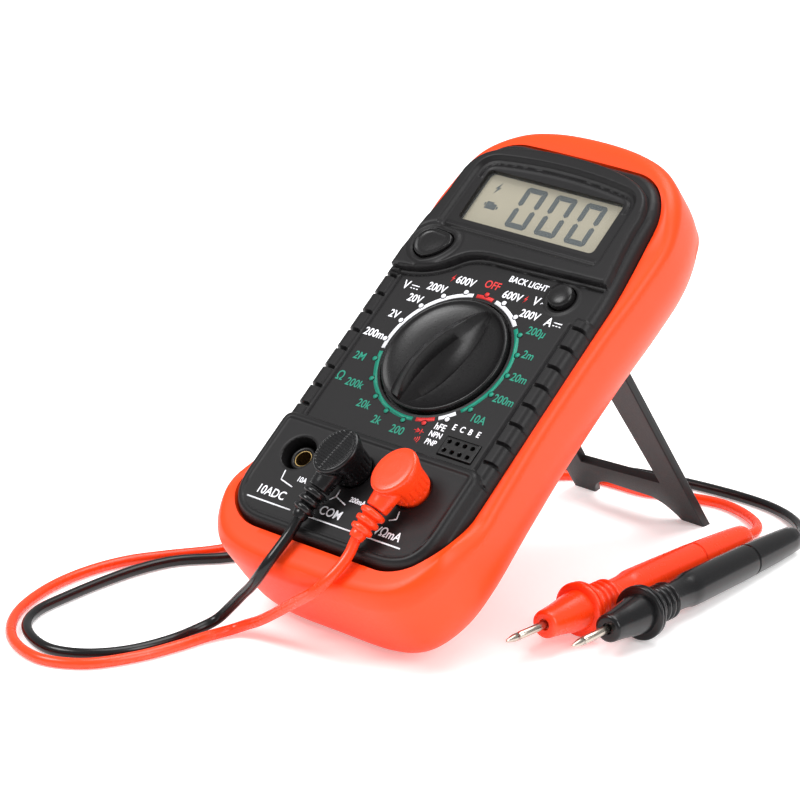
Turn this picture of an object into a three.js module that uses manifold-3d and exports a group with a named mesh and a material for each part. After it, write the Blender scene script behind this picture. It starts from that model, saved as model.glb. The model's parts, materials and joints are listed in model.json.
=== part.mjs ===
// Pocket digital multimeter in a rubber holster, leaning back on its open kickstand, with two test leads.
// Millimetres, +Z up. The meter is built in its own face frame (x right, y up the face, z out of the
// face, origin at the selector's centre on the dial plate) and then leaned back by LEAN.
import * as THREE from "three";
import { mergeVertices } from "three/addons/utils/BufferGeometryUtils.js";
import Module from "manifold-3d";

const wasm = await Module();
wasm.setup();

// ---------------------------------------------------------------- driving dimensions
const LEAN = THREE.MathUtils.degToRad(38.5); // face against the table
const DIAL_HEIGHT = 65.5; // selector centre above the table
const SHIFT_Y = -16; // puts the origin under the middle of the object's box
const GAP = 0.3; // clearance between pieces that touch

const BODY = { half: 34.3, top: 70, bottom: 64.5, back: 28, split: 13 }; // bare meter
const WALL = 2;
const HOLSTER = { back: 34, sideRound: 21, topRound: 14, bottomRound: 13, lip: 4 };
const DECK = 0; // dial plate
const DISPLAY_RISE = 2.5; // display frame above the dial plate
const JACK_RISE = 2.7; // jack panel above the dial plate

const WINDOW = { x: 0, y: 47.8, w: 45, h: 16.6 };
const LENS_TOP = 0.15; // the lens sits close under the bezel's floor
const BOARD = { top: -6.7, thick: 1.6, half: 30, low: -60, high: 61 };
const KNOB = { r: 18.2, h: 10 };
const ROTOR = { r: 16.5, top: -2.9, bottom: -5.6, shaft: 4.5 };
const JACK = { y: -39.2, first: -20.9, pitch: 19.2, well: 4.9, tube: 3, bore: 2.2, depth: 19 };
const PLUG = { pin: 1.85, shroud: 5.3, top: 13, turn: THREE.MathUtils.degToRad(-10), droop: 0.14 };
const JACK_BLOCK = { half: 30.2, low: -60.2, high: -28, round: 14 };
const BACKLIGHT = { x: 21.5, y: 25.4, r: 3.6 };
const HOLD = { x: -23.4, y: 29.2 };
const SWITCH_TOP = -4.6;
const HFE = { x: 20.8, y: -23.7, w: 11, h: 5.6 };
const BATTERY = { w: 26.5, l: 48.5, t: 16.8, x: 0, y: 4 };
const FUSE = { r: 2.5, l: 20, x: -12, y: -26, z: -12.4 };
const SCREWS = [
  [-23, -46],
  [23, -46],
  [-24.5, 61],
  [24.5, 61],
];
const STAND = {
  half: 22.6,
  thick: 2.6,
  hingeY: 29.8,
  hingeZ: -32.4,
  reach: 73.4,
  barLow: 63.9,
  barHigh: 55.8,
  pin: 1.4,
};
STAND.open = THREE.MathUtils.degToRad(87.2); // from folded flat to its stop
const CORD = { r: 1.4, sides: 8 };

// ---------------------------------------------------------------- materials
const paint = (color, roughness, metalness = 0) =>
  new THREE.MeshStandardMaterial({ color, roughness, metalness });
const RUBBER_RED = paint(0xf0402a, 0.5);
const SHELL_BLACK = paint(0x2b2b2d, 0.5);
const GLOSS_BLACK = paint(0x151516, 0.3);
const GLOSS_RED = paint(0xe8281c, 0.3);
const METAL = paint(0xc4c4c6, 0.25, 1);
const BRASS = paint(0xc9a24a, 0.35, 1);
const CLEAR = paint(0xdde6e2, 0.1);
const LCD_GREY = paint(0xa8a08a, 0.35);
const BOARD_GREEN = paint(0x1f5b34, 0.5);
const WHITE = paint(0xe4e2dc, 0.5);
const GREY = paint(0x77787a, 0.5);

// ---------------------------------------------------------------- solids and booleans
function solid(geometry, place = new THREE.Matrix4()) {
  const bare = geometry.clone().applyMatrix4(place);
  bare.deleteAttribute("normal");
  bare.deleteAttribute("uv");
  const merged = mergeVertices(bare, 1e-4);
  const vertProperties = merged.attributes.position.array;
  const triVerts = new Uint32Array(merged.index.array);
  return new wasm.Manifold(new wasm.Mesh({ numProp: 3, vertProperties, triVerts }));
}

function geometryOf(body) {
  const mesh = body.getMesh();
  const geometry = new THREE.BufferGeometry();
  geometry.setAttribute("position", new THREE.BufferAttribute(mesh.vertProperties, 3));
  geometry.setIndex(new THREE.BufferAttribute(mesh.triVerts, 1));
  return geometry;
}

const at = (x, y, z) => new THREE.Matrix4().makeTranslation(x, y, z);
const join = (bodies) => bodies.reduce((a, b) => a.add(b));
const cut = (body, tools) => tools.reduce((a, b) => a.subtract(b), body);

// A box from its middle in x and y, and its lowest and highest z.
function block(w, h, z0, z1, x = 0, y = 0) {
  return solid(new THREE.BoxGeometry(w, h, z1 - z0), at(x, y, (z0 + z1) / 2));
}

// A cylinder or cone along z.
function rod(r0, r1, z0, z1, x = 0, y = 0, sides = 28) {
  const geometry = new THREE.CylinderGeometry(r1, r0, z1 - z0, sides).rotateX(Math.PI / 2);
  return solid(geometry, at(x, y, (z0 + z1) / 2));
}

// A cylinder along x.
function pinX(r, x0, x1, y, z, sides = 16) {
  const geometry = new THREE.CylinderGeometry(r, r, x1 - x0, sides).rotateZ(Math.PI / 2);
  return solid(geometry, at((x0 + x1) / 2, y, z));
}

// A cylinder along y.
function pinY(r, y0, y1, x, z, sides = 16) {
  return solid(new THREE.CylinderGeometry(r, r, y1 - y0, sides), at(x, (y0 + y1) / 2, z));
}

function turned(profile, sides = 32) {
  const points = profile.map(([r, z]) => new THREE.Vector2(r, z));
  return solid(new THREE.LatheGeometry(points, sides).rotateX(Math.PI / 2));
}

function roundedRect(w, h, r) {
  const s = new THREE.Shape();
  const x = w / 2;
  const y = h / 2;
  s.moveTo(-x + r, -y);
  s.lineTo(x - r, -y);
  s.absarc(x - r, -y + r, r, -Math.PI / 2, 0);
  s.lineTo(x, y - r);
  s.absarc(x - r, y - r, r, 0, Math.PI / 2);
  s.lineTo(-x + r, y);
  s.absarc(-x + r, y - r, r, Math.PI / 2, Math.PI);
  s.lineTo(-x, -y + r);
  s.absarc(-x + r, -y + r, r, Math.PI, 1.5 * Math.PI);
  return s;
}

// A plate with optional bevelled edges, from z0 to z1.
function plate(shape, z0, z1, { bevel = 0, curveSegments = 6, x = 0, y = 0 } = {}) {
  const geometry = new THREE.ExtrudeGeometry(shape, {
    depth: z1 - z0 - (bevel ? 2 * bevel : 0),
    bevelEnabled: bevel > 0,
    bevelThickness: bevel,
    bevelSize: bevel,
    bevelOffset: -bevel,
    bevelSegments: 2,
    curveSegments,
  });
  return solid(geometry, at(x, y, z0 + bevel));
}

// A closed skin through rings of points that all have the same count, capped by a fan at each end.
function loft(rings) {
  const n = rings[0].length;
  const position = rings.flat().flatMap((p) => [p.x, p.y, p.z]);
  const index = [];
  rings.slice(1).forEach((_, k) => {
    for (let i = 0; i < n; i++) {
      const j = (i + 1) % n;
      const [a, b, c, d] = [k * n + i, k * n + j, (k + 1) * n + j, (k + 1) * n + i];
      index.push(a, b, c, a, c, d);
    }
  });
  for (const [ring, base, flip] of [
    [rings[0], 0, true],
    [rings.at(-1), (rings.length - 1) * n, false],
  ]) {
    const middle = ring.reduce((sum, p) => sum.add(p), new THREE.Vector3()).divideScalar(n);
    const hub = position.length / 3;
    position.push(middle.x, middle.y, middle.z);
    for (let i = 0; i < n; i++) {
      const j = (i + 1) % n;
      index.push(hub, base + (flip ? j : i), base + (flip ? i : j));
    }
  }
  const geometry = new THREE.BufferGeometry();
  geometry.setAttribute("position", new THREE.Float32BufferAttribute(position, 3));
  geometry.setIndex(index);
  return solid(geometry);
}

// ---------------------------------------------------------------- outlines of the meter and holster
// How far a rounded back edge has moved in at depth z (negative is behind the dial plate).
function backInset(z, back, round) {
  const into = Math.min(Math.max(-z - (back - round), 0), round * 0.98);
  return round - Math.sqrt(round * round - into * into);
}

const smooth = THREE.MathUtils.smoothstep;

// Rounded outline of the bare meter, as a counter-clockwise ring of points.
function bodyRing(z, { side = 0, top = 0, bottom = 0, count = 44 } = {}) {
  const h = BODY.half;
  const shape = new THREE.Shape();
  shape.moveTo(0, -BODY.bottom);
  shape.lineTo(h - 15, -BODY.bottom);
  shape.absellipse(h - 15, -BODY.bottom + 15, 15, 15, -Math.PI / 2, 0);
  shape.lineTo(h, BODY.top - 14);
  shape.absellipse(h - 14, BODY.top - 14, 14, 13, 0, Math.PI / 2);
  shape.lineTo(-h + 14, BODY.top - 1);
  shape.absellipse(-h + 14, BODY.top - 14, 14, 13, Math.PI / 2, Math.PI);
  shape.lineTo(-h, -BODY.bottom + 15);
  shape.absellipse(-h + 15, -BODY.bottom + 15, 15, 15, Math.PI, 1.5 * Math.PI);
  shape.lineTo(0, -BODY.bottom);
  return shape.getSpacedPoints(count).slice(0, count).map((p) => squeeze(p, z, side, top, bottom, h));
}

// Moves an outline's point in by the side, top and bottom insets.
function squeeze(p, z, side, top, bottom, half, topEnd = BODY.top, bottomEnd = BODY.bottom) {
  const x = (p.x * (half - side)) / half;
  const y = p.y > 0 ? (p.y * (topEnd - top)) / topEnd : (p.y * (bottomEnd - bottom)) / bottomEnd;
  return new THREE.Vector3(x, y, z);
}

function bodyBackRing(z, offset, count) {
  return bodyRing(z, {
    side: offset + backInset(z, BODY.back - offset, 17),
    top: offset + backInset(z, BODY.back - offset, 11),
    bottom: offset + backInset(z, BODY.back - offset, 8),
    count,
  });
}

// Half outline of the holster seen from the front: shoulders, a slight waist, a broad foot.
const HOLSTER_HALF = [
  [0, 76],
  [14, 75],
  [24.5, 71.6],
  [32.8, 64],
  [37.2, 52],
  [37.6, 38],
  [36.5, 18],
  [36.3, -8],
  [37.2, -28],
  [38.4, -46],
  [37, -58],
  [31, -67],
  [20, -70.6],
];
const HOLSTER_END = { top: 76, bottom: 71 };

function holsterRing(z, inset, rise = 0, count = 60) {
  const right = HOLSTER_HALF.map(([x, y]) => new THREE.Vector2(x, y));
  const left = HOLSTER_HALF.slice(1).map(([x, y]) => new THREE.Vector2(-x, y));
  const loop = [...right, new THREE.Vector2(0, -71), ...left.reverse()].reverse();
  const closed = new THREE.CatmullRomCurve3(
    loop.map((p) => new THREE.Vector3(p.x, p.y, 0)),
    true,
  );
  const { side, top, bottom } = inset;
  return closed
    .getSpacedPoints(count)
    .slice(0, count)
    .map((p) => {
      const q = squeeze(p, z, side, top, bottom, 38.4, HOLSTER_END.top, HOLSTER_END.bottom);
      q.z += rise * lipRise(p.y);
      return q;
    });
}

// The lip climbs onto the jack block at the foot and a little at the head.
function lipRise(y) {
  return 5.2 * smooth(-y, 38, 56) + 2.2 * smooth(y, 50, 66);
}

const evenInset = (d) => ({ side: d, top: d, bottom: d });
const holsterBackInset = (z) => ({
  side: backInset(z, HOLSTER.back, HOLSTER.sideRound),
  top: backInset(z, HOLSTER.back, HOLSTER.topRound),
  bottom: backInset(z, HOLSTER.back, HOLSTER.bottomRound),
});

// Outline of the front shell's face, inside the holster's lip.
const FACE = { half: 33.8, top: 69, bottom: 61.3 };
function faceRing(z, inset, grow = 0, rise = 0) {
  return bodyRing(z, {
    side: BODY.half - FACE.half - grow + inset,
    top: BODY.top - FACE.top - grow + inset,
    bottom: BODY.bottom - FACE.bottom - grow + inset,
  }).map((p) => {
    p.z += rise * lipRise(p.y);
    return p;
  });
}

// ---------------------------------------------------------------- holster and stand
function makeHolster() {
  const lip = -HOLSTER.lip;
  const front = [
    holsterRing(lip, evenInset(2.6), 1),
    holsterRing(lip - 0.4, evenInset(1.2), 1),
    holsterRing(lip - 1.5, evenInset(0.3), 0.8),
    holsterRing(lip - 3.2, evenInset(0), 0.5),
  ];
  const depths = [-13, -18, -22, -26, -29.5, -32.2, -33.6, -HOLSTER.back];
  const back = depths.map((z) => holsterRing(z, holsterBackInset(z)));
  const outer = loft([...front, ...back].reverse());
  const inside = [-28.3, -27, -24.5, -20, -15, -9, -4.4].map((z) => bodyBackRing(z, -GAP));
  const opening = [faceRing(-4.8, 0, GAP), faceRing(8, 0, GAP)];
  const recessLength = STAND.reach + 10.5;
  const recess = block(2 * STAND.half + 1.4, recessLength, -40, -30.7, 0, STAND.hingeY + 9 - recessLength / 2);
  const pinHoles = pinX(STAND.pin + GAP, -STAND.half - 4, STAND.half + 4, STAND.hingeY, STAND.hingeZ);
  return cut(outer, [loft(inside), loft(opening), recess, pinHoles]);
}

// The kickstand drawn open: a frame with two feet, hanging along -z from its hinge.
function makeStand() {
  const { half, thick, reach, barLow, barHigh, pin } = STAND;
  const s = new THREE.Shape();
  s.moveTo(-half, 0);
  s.lineTo(-half, -reach);
  s.lineTo(-half + 6.8, -reach);
  s.quadraticCurveTo(-half + 9, -barLow - 1, -half + 15, -barLow);
  s.lineTo(half - 15, -barLow);
  s.quadraticCurveTo(half - 10, -barLow - 1.4, half - 6.8, -reach);
  s.lineTo(half, -reach);
  s.lineTo(half, 0);
  s.lineTo(-half, 0);
  const hole = new THREE.Path();
  hole.moveTo(-half + 10.4, -9);
  hole.lineTo(half - 10.4, -9);
  hole.lineTo(half - 8.6, -barHigh + 1);
  hole.lineTo(-half + 8.6, -barHigh - 1);
  s.holes.push(hole);
  const flat = new THREE.ExtrudeGeometry(s, { depth: thick, bevelEnabled: false, curveSegments: 5 });
  const body = solid(flat, at(0, 0, -thick / 2));
  const axle = pinX(pin, -half - 3.4, half + 3.4, 0, 0, 20);
  // The soles are flat on the table when the stand is open.
  const drop = DIAL_HEIGHT + Math.sin(LEAN) * STAND.hingeY + Math.cos(LEAN) * STAND.hingeZ;
  const below = new THREE.Matrix4().makeRotationX(-LEAN - STAND.open).multiply(at(0, 0, -drop - 10));
  return body.add(axle).subtract(solid(new THREE.BoxGeometry(60, 120, 20), below));
}

// ---------------------------------------------------------------- meter shells
function displayShape(inset = 0) {
  const s = new THREE.Shape();
  const h = 32.2 - inset;
  s.moveTo(-h, 20.5);
  s.bezierCurveTo(-h + 8, 20.5, -18, 23, -14, 27);
  s.bezierCurveTo(-11, 30, -7, 30.6, 0, 30.6 + inset);
  s.lineTo(h, 31.6 + inset);
  s.lineTo(h, 52);
  s.bezierCurveTo(h, 62, 25 - inset, 64.8 - inset, 14, 66.4 - inset);
  s.quadraticCurveTo(0, 68.4 - inset, -14, 66.4 - inset);
  s.bezierCurveTo(-25 + inset, 64.8 - inset, -h, 62, -h, 52);
  return s;
}

function bezelShape() {
  const s = new THREE.Shape();
  s.moveTo(-26, 35);
  s.lineTo(25, 35);
  s.quadraticCurveTo(28, 35, 28, 38);
  s.lineTo(28, 55);
  s.quadraticCurveTo(28, 60.5, 22, 61.4);
  s.quadraticCurveTo(0, 64.6, -22, 61.4);
  s.quadraticCurveTo(-28, 60.5, -28, 55);
  s.lineTo(-28, 38);
  s.quadraticCurveTo(-28, 35, -26, 35);
  return s;
}

// Raised panel round the jacks: square shoulders above, round corners at the foot.
function jackBlockShape() {
  const { half, low, high, round } = JACK_BLOCK;
  const s = new THREE.Shape();
  s.moveTo(-half + round, low);
  s.lineTo(half - round, low);
  s.quadraticCurveTo(half, low, half, low + round);
  s.lineTo(half, high - 4);
  s.quadraticCurveTo(half, high, half - 4, high);
  s.lineTo(-half + 4, high);
  s.quadraticCurveTo(-half, high, -half, high - 4);
  s.lineTo(-half, low + round);
  s.quadraticCurveTo(-half, low, -half + round, low);
  return s;
}

const jackX = [0, 1, 2].map((i) => JACK.first + i * JACK.pitch);

function holdShape(grow = 0) {
  const s = new THREE.Shape();
  const g = grow;
  s.moveTo(-5.6 - g, 0.6);
  s.quadraticCurveTo(-5.2 - g, 4.2 + g, -1.5, 4.6 + g);
  s.lineTo(3, 4.2 + g);
  s.quadraticCurveTo(6.2 + g, 3.6 + g, 5.4 + g, 0.6);
  s.quadraticCurveTo(3.6 + g, -3.4 - g, -0.4, -4.6 - g);
  s.quadraticCurveTo(-4.8 - g, -4.4 - g, -5.6 - g, 0.6);
  return s;
}

function makeFrontShell() {
  const skin = [
    bodyRing(-BODY.split, {}),
    bodyRing(-5, {}),
    faceRing(-4.7, 0),
    faceRing(-3, 0),
    faceRing(-1.6, 0.6),
    faceRing(-0.5, 1.3),
    faceRing(DECK, 2.2),
  ];
  const display = plate(displayShape(), -1.5, DISPLAY_RISE, { bevel: 1.1, curveSegments: 7 });
  const jackBlock = plate(jackBlockShape(), -1.5, JACK_RISE, { bevel: 1 });
  const bosses = SCREWS.map(([x, y]) => rod(3.4, 3.4, -BODY.split, -1.5, x, y, 16));
  const outside = join([loft(skin), display, jackBlock]);
  const hollow = loft([
    bodyRing(-BODY.split - 1, { side: WALL, top: WALL, bottom: WALL }),
    bodyRing(-4, { side: WALL, top: WALL, bottom: WALL }),
    bodyRing(-1.9, { side: WALL + 2.5, top: WALL + 2.5, bottom: WALL + 2.5 }),
  ]);
  const shell = cut(outside, [hollow]).add(join(bosses).intersect(outside));
  const { x, y, w, h } = WINDOW;
  const notches = [-1, 1].flatMap((side) =>
    [...Array(8).keys()].map((i) => block(5, 1, -3.2, 3, side * 33.6, 18 - i * 6.1)),
  );
  const openings = [
    plate(bezelShape(), 1.2, 4),
    plate(roundedRect(w, h, 1.4), -6, 4, { curveSegments: 3, x, y }),
    block(48, 19.4, -5, LENS_TOP + GAP, x, y),
    rod(KNOB.r + 0.5, KNOB.r + 0.5, -0.9, 3, 0, 0, 40),
    rod(ROTOR.shaft + GAP, ROTOR.shaft + GAP, -6, 3),
    ...jackX.map((jx) => rod(JACK.well, JACK.well, -6, 6, jx, JACK.y)),
    rod(BACKLIGHT.r + GAP, BACKLIGHT.r + GAP, -6, 6, BACKLIGHT.x, BACKLIGHT.y),
    plate(holdShape(GAP), -6, 6, { ...HOLD, curveSegments: 4 }),
    block(HFE.w + 0.6, HFE.h + 0.6, -6, 3, HFE.x, HFE.y),
    ...SCREWS.map(([sx, sy]) => rod(1.6, 1.6, -BODY.split - 1, -3, sx, sy, 12)),
    ...notches,
  ];
  return cut(shell, openings);
}

function makeRearShell() {
  const top = -BODY.split - GAP;
  const outer = [top, -17, -20, -23, -25.5, -27.2, -28].map((z) => bodyBackRing(z, 0));
  const inner = [top + 1, -16, -19, -22, -24.5, -26.1].map((z) => bodyBackRing(z, WALL - 0.1));
  const posts = SCREWS.map(([x, y]) => rod(3.8, 3.8, -27, top, x, y, 16));
  const shell = loft([...outer].reverse());
  const hollow = loft([...inner].reverse());
  const body = shell.subtract(hollow).add(join(posts).intersect(shell));
  const holes = SCREWS.flatMap(([x, y]) => [
    rod(1.7, 1.7, -30, -12, x, y, 12),
    rod(2.9, 2.9, -30, -20, x, y, 16),
  ]);
  return cut(body, holes);
}

function makeScrew() {
  const head = rod(2.4, 2.4, -1.6, 0, 0, 0, 16);
  const shank = rod(1.25, 1.25, -0.1, 13.5, 0, 0, 12);
  const slot = block(0.7, 3.4, -2, -1, 0, 0).add(block(3.4, 0.7, -2, -1, 0, 0));
  return head.add(shank).subtract(slot);
}

// ---------------------------------------------------------------- selector
function makeKnob() {
  const { r, h } = KNOB;
  const skirt = turned(
    [
      [0, -0.4],
      [r, -0.4],
      [r, 2.6],
      [r - 0.7, 3.6],
      [r - 2, 3.4],
      [r - 4, 2.4],
      [5, 1.6],
      [0, 1.6],
    ],
    44,
  );
  const grip = new THREE.Shape();
  grip.moveTo(0, r - 0.9);
  grip.bezierCurveTo(3.4, r - 4, 5.2, 6, 5.2, 0);
  grip.bezierCurveTo(5.2, -6, 3.6, -r + 5, 1.6, -r + 2);
  grip.lineTo(-1.6, -r + 2);
  grip.bezierCurveTo(-3.6, -r + 5, -5.2, -6, -5.2, 0);
  grip.bezierCurveTo(-5.2, 6, -3.4, r - 4, 0, r - 0.9);
  const fin = plate(grip, 0, h, { bevel: 1.2, curveSegments: 5 });
  const shaft = rod(ROTOR.shaft - 1.6, ROTOR.shaft - 1.6, -5, 0, 0, 0, 20);
  return join([skirt, fin, shaft]);
}

function makeRotor() {
  const { r, top, bottom, shaft } = ROTOR;
  const disc = rod(r, r, bottom, top, 0, 0, 36);
  const hub = rod(shaft, shaft, top - 0.1, -0.75, 0, 0, 20);
  const bore = rod(shaft - 1.3, shaft - 1.3, bottom - 1, 0, 0, 0, 20);
  const detents = [pinX(1.5, r - 7, r + 1, 0, -4.3), pinX(1.5, -r - 1, -r + 7, 0, -4.3)];
  return cut(disc.add(hub), [bore, ...detents]);
}

// ---------------------------------------------------------------- test leads
// The plug is drawn with its pin along -z at the origin and its tail towards -y.
function makeBoot() {
  const { shroud, top } = PLUG;
  const z0 = JACK_RISE + GAP;
  const barrel = rod(shroud, shroud - 0.2, z0, 9.4, 0, 0, 20);
  const cap = solid(
    new THREE.SphereGeometry(1, 16, 8).scale(5.5, 6.6, 4.6),
    at(0, -0.6, top - 4.4),
  );
  const collar = rod(JACK.well - 0.5, JACK.well - 0.5, -3.5, z0 + 0.2, 0, 0, 20);
  const socket = rod(PLUG.pin + 1.6, PLUG.pin + 1.6, -4, z0, 0, 0, 14);
  const neck = solid(
    new THREE.CylinderGeometry(3.4, 2.7, 7.6, 12),
    new THREE.Matrix4().makeRotationX(PLUG.droop).setPosition(0, -6.6, 8.3),
  );
  return join([barrel.add(collar).subtract(socket), cap, neck]).subtract(
    rod(PLUG.pin + GAP, PLUG.pin + GAP, -5, 8, 0, 0, 14),
  );
}

// Three rings on a tapering core, along -y from the neck.
function makeRelief() {
  const profile = [[0, 0]];
  for (let i = 0; i < 3; i++) {
    const y = i * 2.3;
    const r = 3.1 - 0.22 * i;
    profile.push([r - 0.9, y + 0.1], [r, y + 0.5], [r, y + 1.6], [r - 0.9, y + 2]);
  }
  profile.push([1.9, 7.3], [0, 7.3]);
  const points = profile.map(([r, y]) => new THREE.Vector2(r, y));
  return solid(new THREE.LatheGeometry(points, 12).rotateX(Math.PI));
}

function makePin() {
  const tube = turned(
    [
      [0, -14.5],
      [1.2, -14.5],
      [PLUG.pin, -13],
      [PLUG.pin, 7.6],
      [0, 7.6],
    ],
    16,
  );
  return tube;
}

// The probe lies along +y from its needle's point at the origin.
const PROBE = { needle: 27, mouth: 13.5, flange: 35.5, ribs: 52, length: 106.2 };
function makeHandle() {
  const profile = [
    [0, PROBE.needle - GAP],
    [0, PROBE.mouth + 3],
    [2.6, PROBE.mouth + 3],
    [2.9, PROBE.mouth - 0.5],
    [3.7, PROBE.mouth],
    [4.1, PROBE.mouth + 8],
    [5, PROBE.flange - 4],
    [5.3, PROBE.flange - 1.6],
    [7.2, PROBE.flange - 1],
    [7.2, PROBE.flange + 1],
    [5.2, PROBE.flange + 1.8],
  ];
  for (let i = 0; i < 3; i++) {
    const y = PROBE.flange + 3.4 + i * 3.6;
    profile.push([4.3, y], [5, y + 0.7], [5, y + 2.1], [4.3, y + 2.8]);
  }
  profile.push(
    [4, PROBE.ribs],
    [4.5, PROBE.ribs + 9],
    [4.3, PROBE.length - 20],
    [3.5, PROBE.length - 0.6],
    [2.9, PROBE.length],
    [0, PROBE.length],
  );
  profile.shift();
  const points = profile.map(([r, y]) => new THREE.Vector2(r, y));
  return solid(new THREE.LatheGeometry(points, 14));
}

function makeNeedle() {
  const points = [
    [0, 0],
    [0.5, 0.8],
    [1.05, 3.4],
    [1.05, 4.6],
    [0.8, 5],
    [1.05, 5.4],
    [1.05, PROBE.mouth + 3 - GAP],
    [0, PROBE.mouth + 3 - GAP],
  ].map(([r, y]) => new THREE.Vector2(r, y));
  return solid(new THREE.LatheGeometry(points, 10));
}

// A tube along a smooth curve through hand-placed points.
function makeCord(route) {
  const curve = new THREE.CatmullRomCurve3(route.map((p) => new THREE.Vector3(...p)), false, "centripetal");
  const section = new THREE.Shape();
  for (let i = 0; i < CORD.sides; i++) {
    const a = ((i + 0.5) / CORD.sides) * 2 * Math.PI;
    const method = i ? "lineTo" : "moveTo";
    section[method](CORD.r * Math.cos(a), CORD.r * Math.sin(a));
  }
  section.closePath();
  const geometry = new THREE.ExtrudeGeometry(section, { steps: 66, extrudePath: curve });
  return solid(geometry);
}

// ---------------------------------------------------------------- scene graph
const multimeter = new THREE.Group();
const meter = new THREE.Group();
meter.rotation.x = LEAN;
meter.position.set(0, SHIFT_Y, DIAL_HEIGHT);
multimeter.add(meter);

function part(parent, name, body, material, x = 0, y = 0, z = 0) {
  const mesh = new THREE.Mesh(geometryOf(body), material);
  mesh.name = name;
  mesh.position.set(x, y, z);
  parent.add(mesh);
  return mesh;
}

part(meter, "holster", makeHolster(), RUBBER_RED);
part(meter, "front_shell", makeFrontShell(), SHELL_BLACK);
part(meter, "rear_shell", makeRearShell(), SHELL_BLACK);
SCREWS.forEach(([x, y], i) => part(meter, `case_screw_${i + 1}`, makeScrew(), METAL, x, y, -20.3));

// Display stack, from the window down to the board.
const { x: wx, y: wy } = WINDOW;
part(meter, "display_lens", block(47.4, 18.8, LENS_TOP - 0.5, LENS_TOP), CLEAR, wx, wy);
part(meter, "display_glass", block(46.6, 18.4, -2.35, -0.65), LCD_GREY, wx, wy);
part(meter, "zebra_strip", block(44, 2.2, -6.4, -2.65), GREY, wx, wy - 8);
part(meter, "backlight_panel", block(44, 14.6, -6.3, -2.65), WHITE, wx, wy + 1.2);

// Circuit board and what is on it.
function makeBoard() {
  const { top, thick, half, low, high } = BOARD;
  const outline = roundedRect(2 * half, high - low, 9);
  const sheet = plate(outline, top - thick, top, { y: (high + low) / 2 });
  const holes = [
    ...jackX.map((x) => rod(JACK.tube + GAP, JACK.tube + GAP, -12, 0, x, JACK.y, 20)),
    ...SCREWS.map(([x, y]) => rod(4.2, 4.2, -12, 0, x, y, 16)),
    rod(ROTOR.shaft, ROTOR.shaft, -12, 0),
  ];
  return cut(sheet, holes);
}
const under = BOARD.top - BOARD.thick; // rear face of the board
part(meter, "circuit_board", makeBoard(), BOARD_GREEN);
part(meter, "hfe_socket", block(HFE.w, HFE.h, BOARD.top + GAP, 0.5), GLOSS_BLACK, HFE.x, HFE.y);
part(meter, "backlight_switch", block(6, 6, BOARD.top + GAP, SWITCH_TOP), GREY, BACKLIGHT.x, BACKLIGHT.y);
part(meter, "hold_switch", block(6, 6, BOARD.top + GAP, SWITCH_TOP), GREY, HOLD.x, HOLD.y);
part(meter, "chip_cover", rod(9, 7.5, under - 2.6, under - GAP, 0, 0, 24), GLOSS_BLACK, 14, -24);
part(meter, "buzzer", rod(7, 7, under - 3, under - GAP, 0, 0, 24), BRASS, -21, -14);
part(meter, "trimmer", block(5, 5, under - 3, under - GAP), WHITE, 26, -31);

const jackNames = ["jack_socket_10a", "jack_socket_com", "jack_socket_vohm"];
jackNames.forEach((name, i) => {
  const { tube, bore, depth } = JACK;
  const body = rod(tube, tube, -depth, 0, 0, 0, 20).subtract(rod(bore, bore, -depth + 1.5, 1, 0, 0, 20));
  part(meter, name, body, BRASS, jackX[i], JACK.y, -0.6);
});

// 10 A shunt: a thick wire loop on the rear of the board.
function makeShunt() {
  const legs = [-5, 5].map((x) => rod(0.8, 0.8, -4, 0, x, 0, 10));
  return join([...legs, pinX(0.8, -5.8, 5.8, 0, -4, 10)]);
}
part(meter, "shunt_wire", makeShunt(), METAL, -21, -52, under - GAP);

const fuseTube = pinX(FUSE.r - 0.3, -FUSE.l / 2 + 5.3, FUSE.l / 2 - 5.3, 0, 0);
part(meter, "fuse_glass", fuseTube, CLEAR, FUSE.x, FUSE.y, FUSE.z);
[-1, 1].forEach((side, i) => {
  const x = side * (FUSE.l / 2 - 2.5);
  const cap = pinX(FUSE.r, x - 2.5, x + 2.5, 0, 0);
  part(meter, `fuse_cap_${i + 1}`, cap, METAL, FUSE.x, FUSE.y, FUSE.z);
  const jaw = block(4, 2 * FUSE.r + 2.2, -2.6, 3.8).subtract(block(6, 2 * FUSE.r + 0.7, -4, 2.8));
  part(meter, `fuse_clip_${i + 1}`, jaw, BRASS, FUSE.x + x, FUSE.y, FUSE.z);
});

const batteryTop = under - GAP;
const batteryMid = BATTERY.y + BATTERY.l / 2;
const cellOutline = roundedRect(BATTERY.w, BATTERY.l, 2);
const cell = plate(cellOutline, batteryTop - BATTERY.t, batteryTop, { bevel: 0.8, curveSegments: 3 });
part(meter, "battery", cell, paint(0x3a3f45, 0.35), BATTERY.x, batteryMid);
const terminals = batteryTop - BATTERY.t / 2;
const snap = block(22, 3.6, terminals - 6, terminals + 6, BATTERY.x, BATTERY.y - 2.2);
part(meter, "battery_snap", snap, GLOSS_BLACK);

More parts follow.
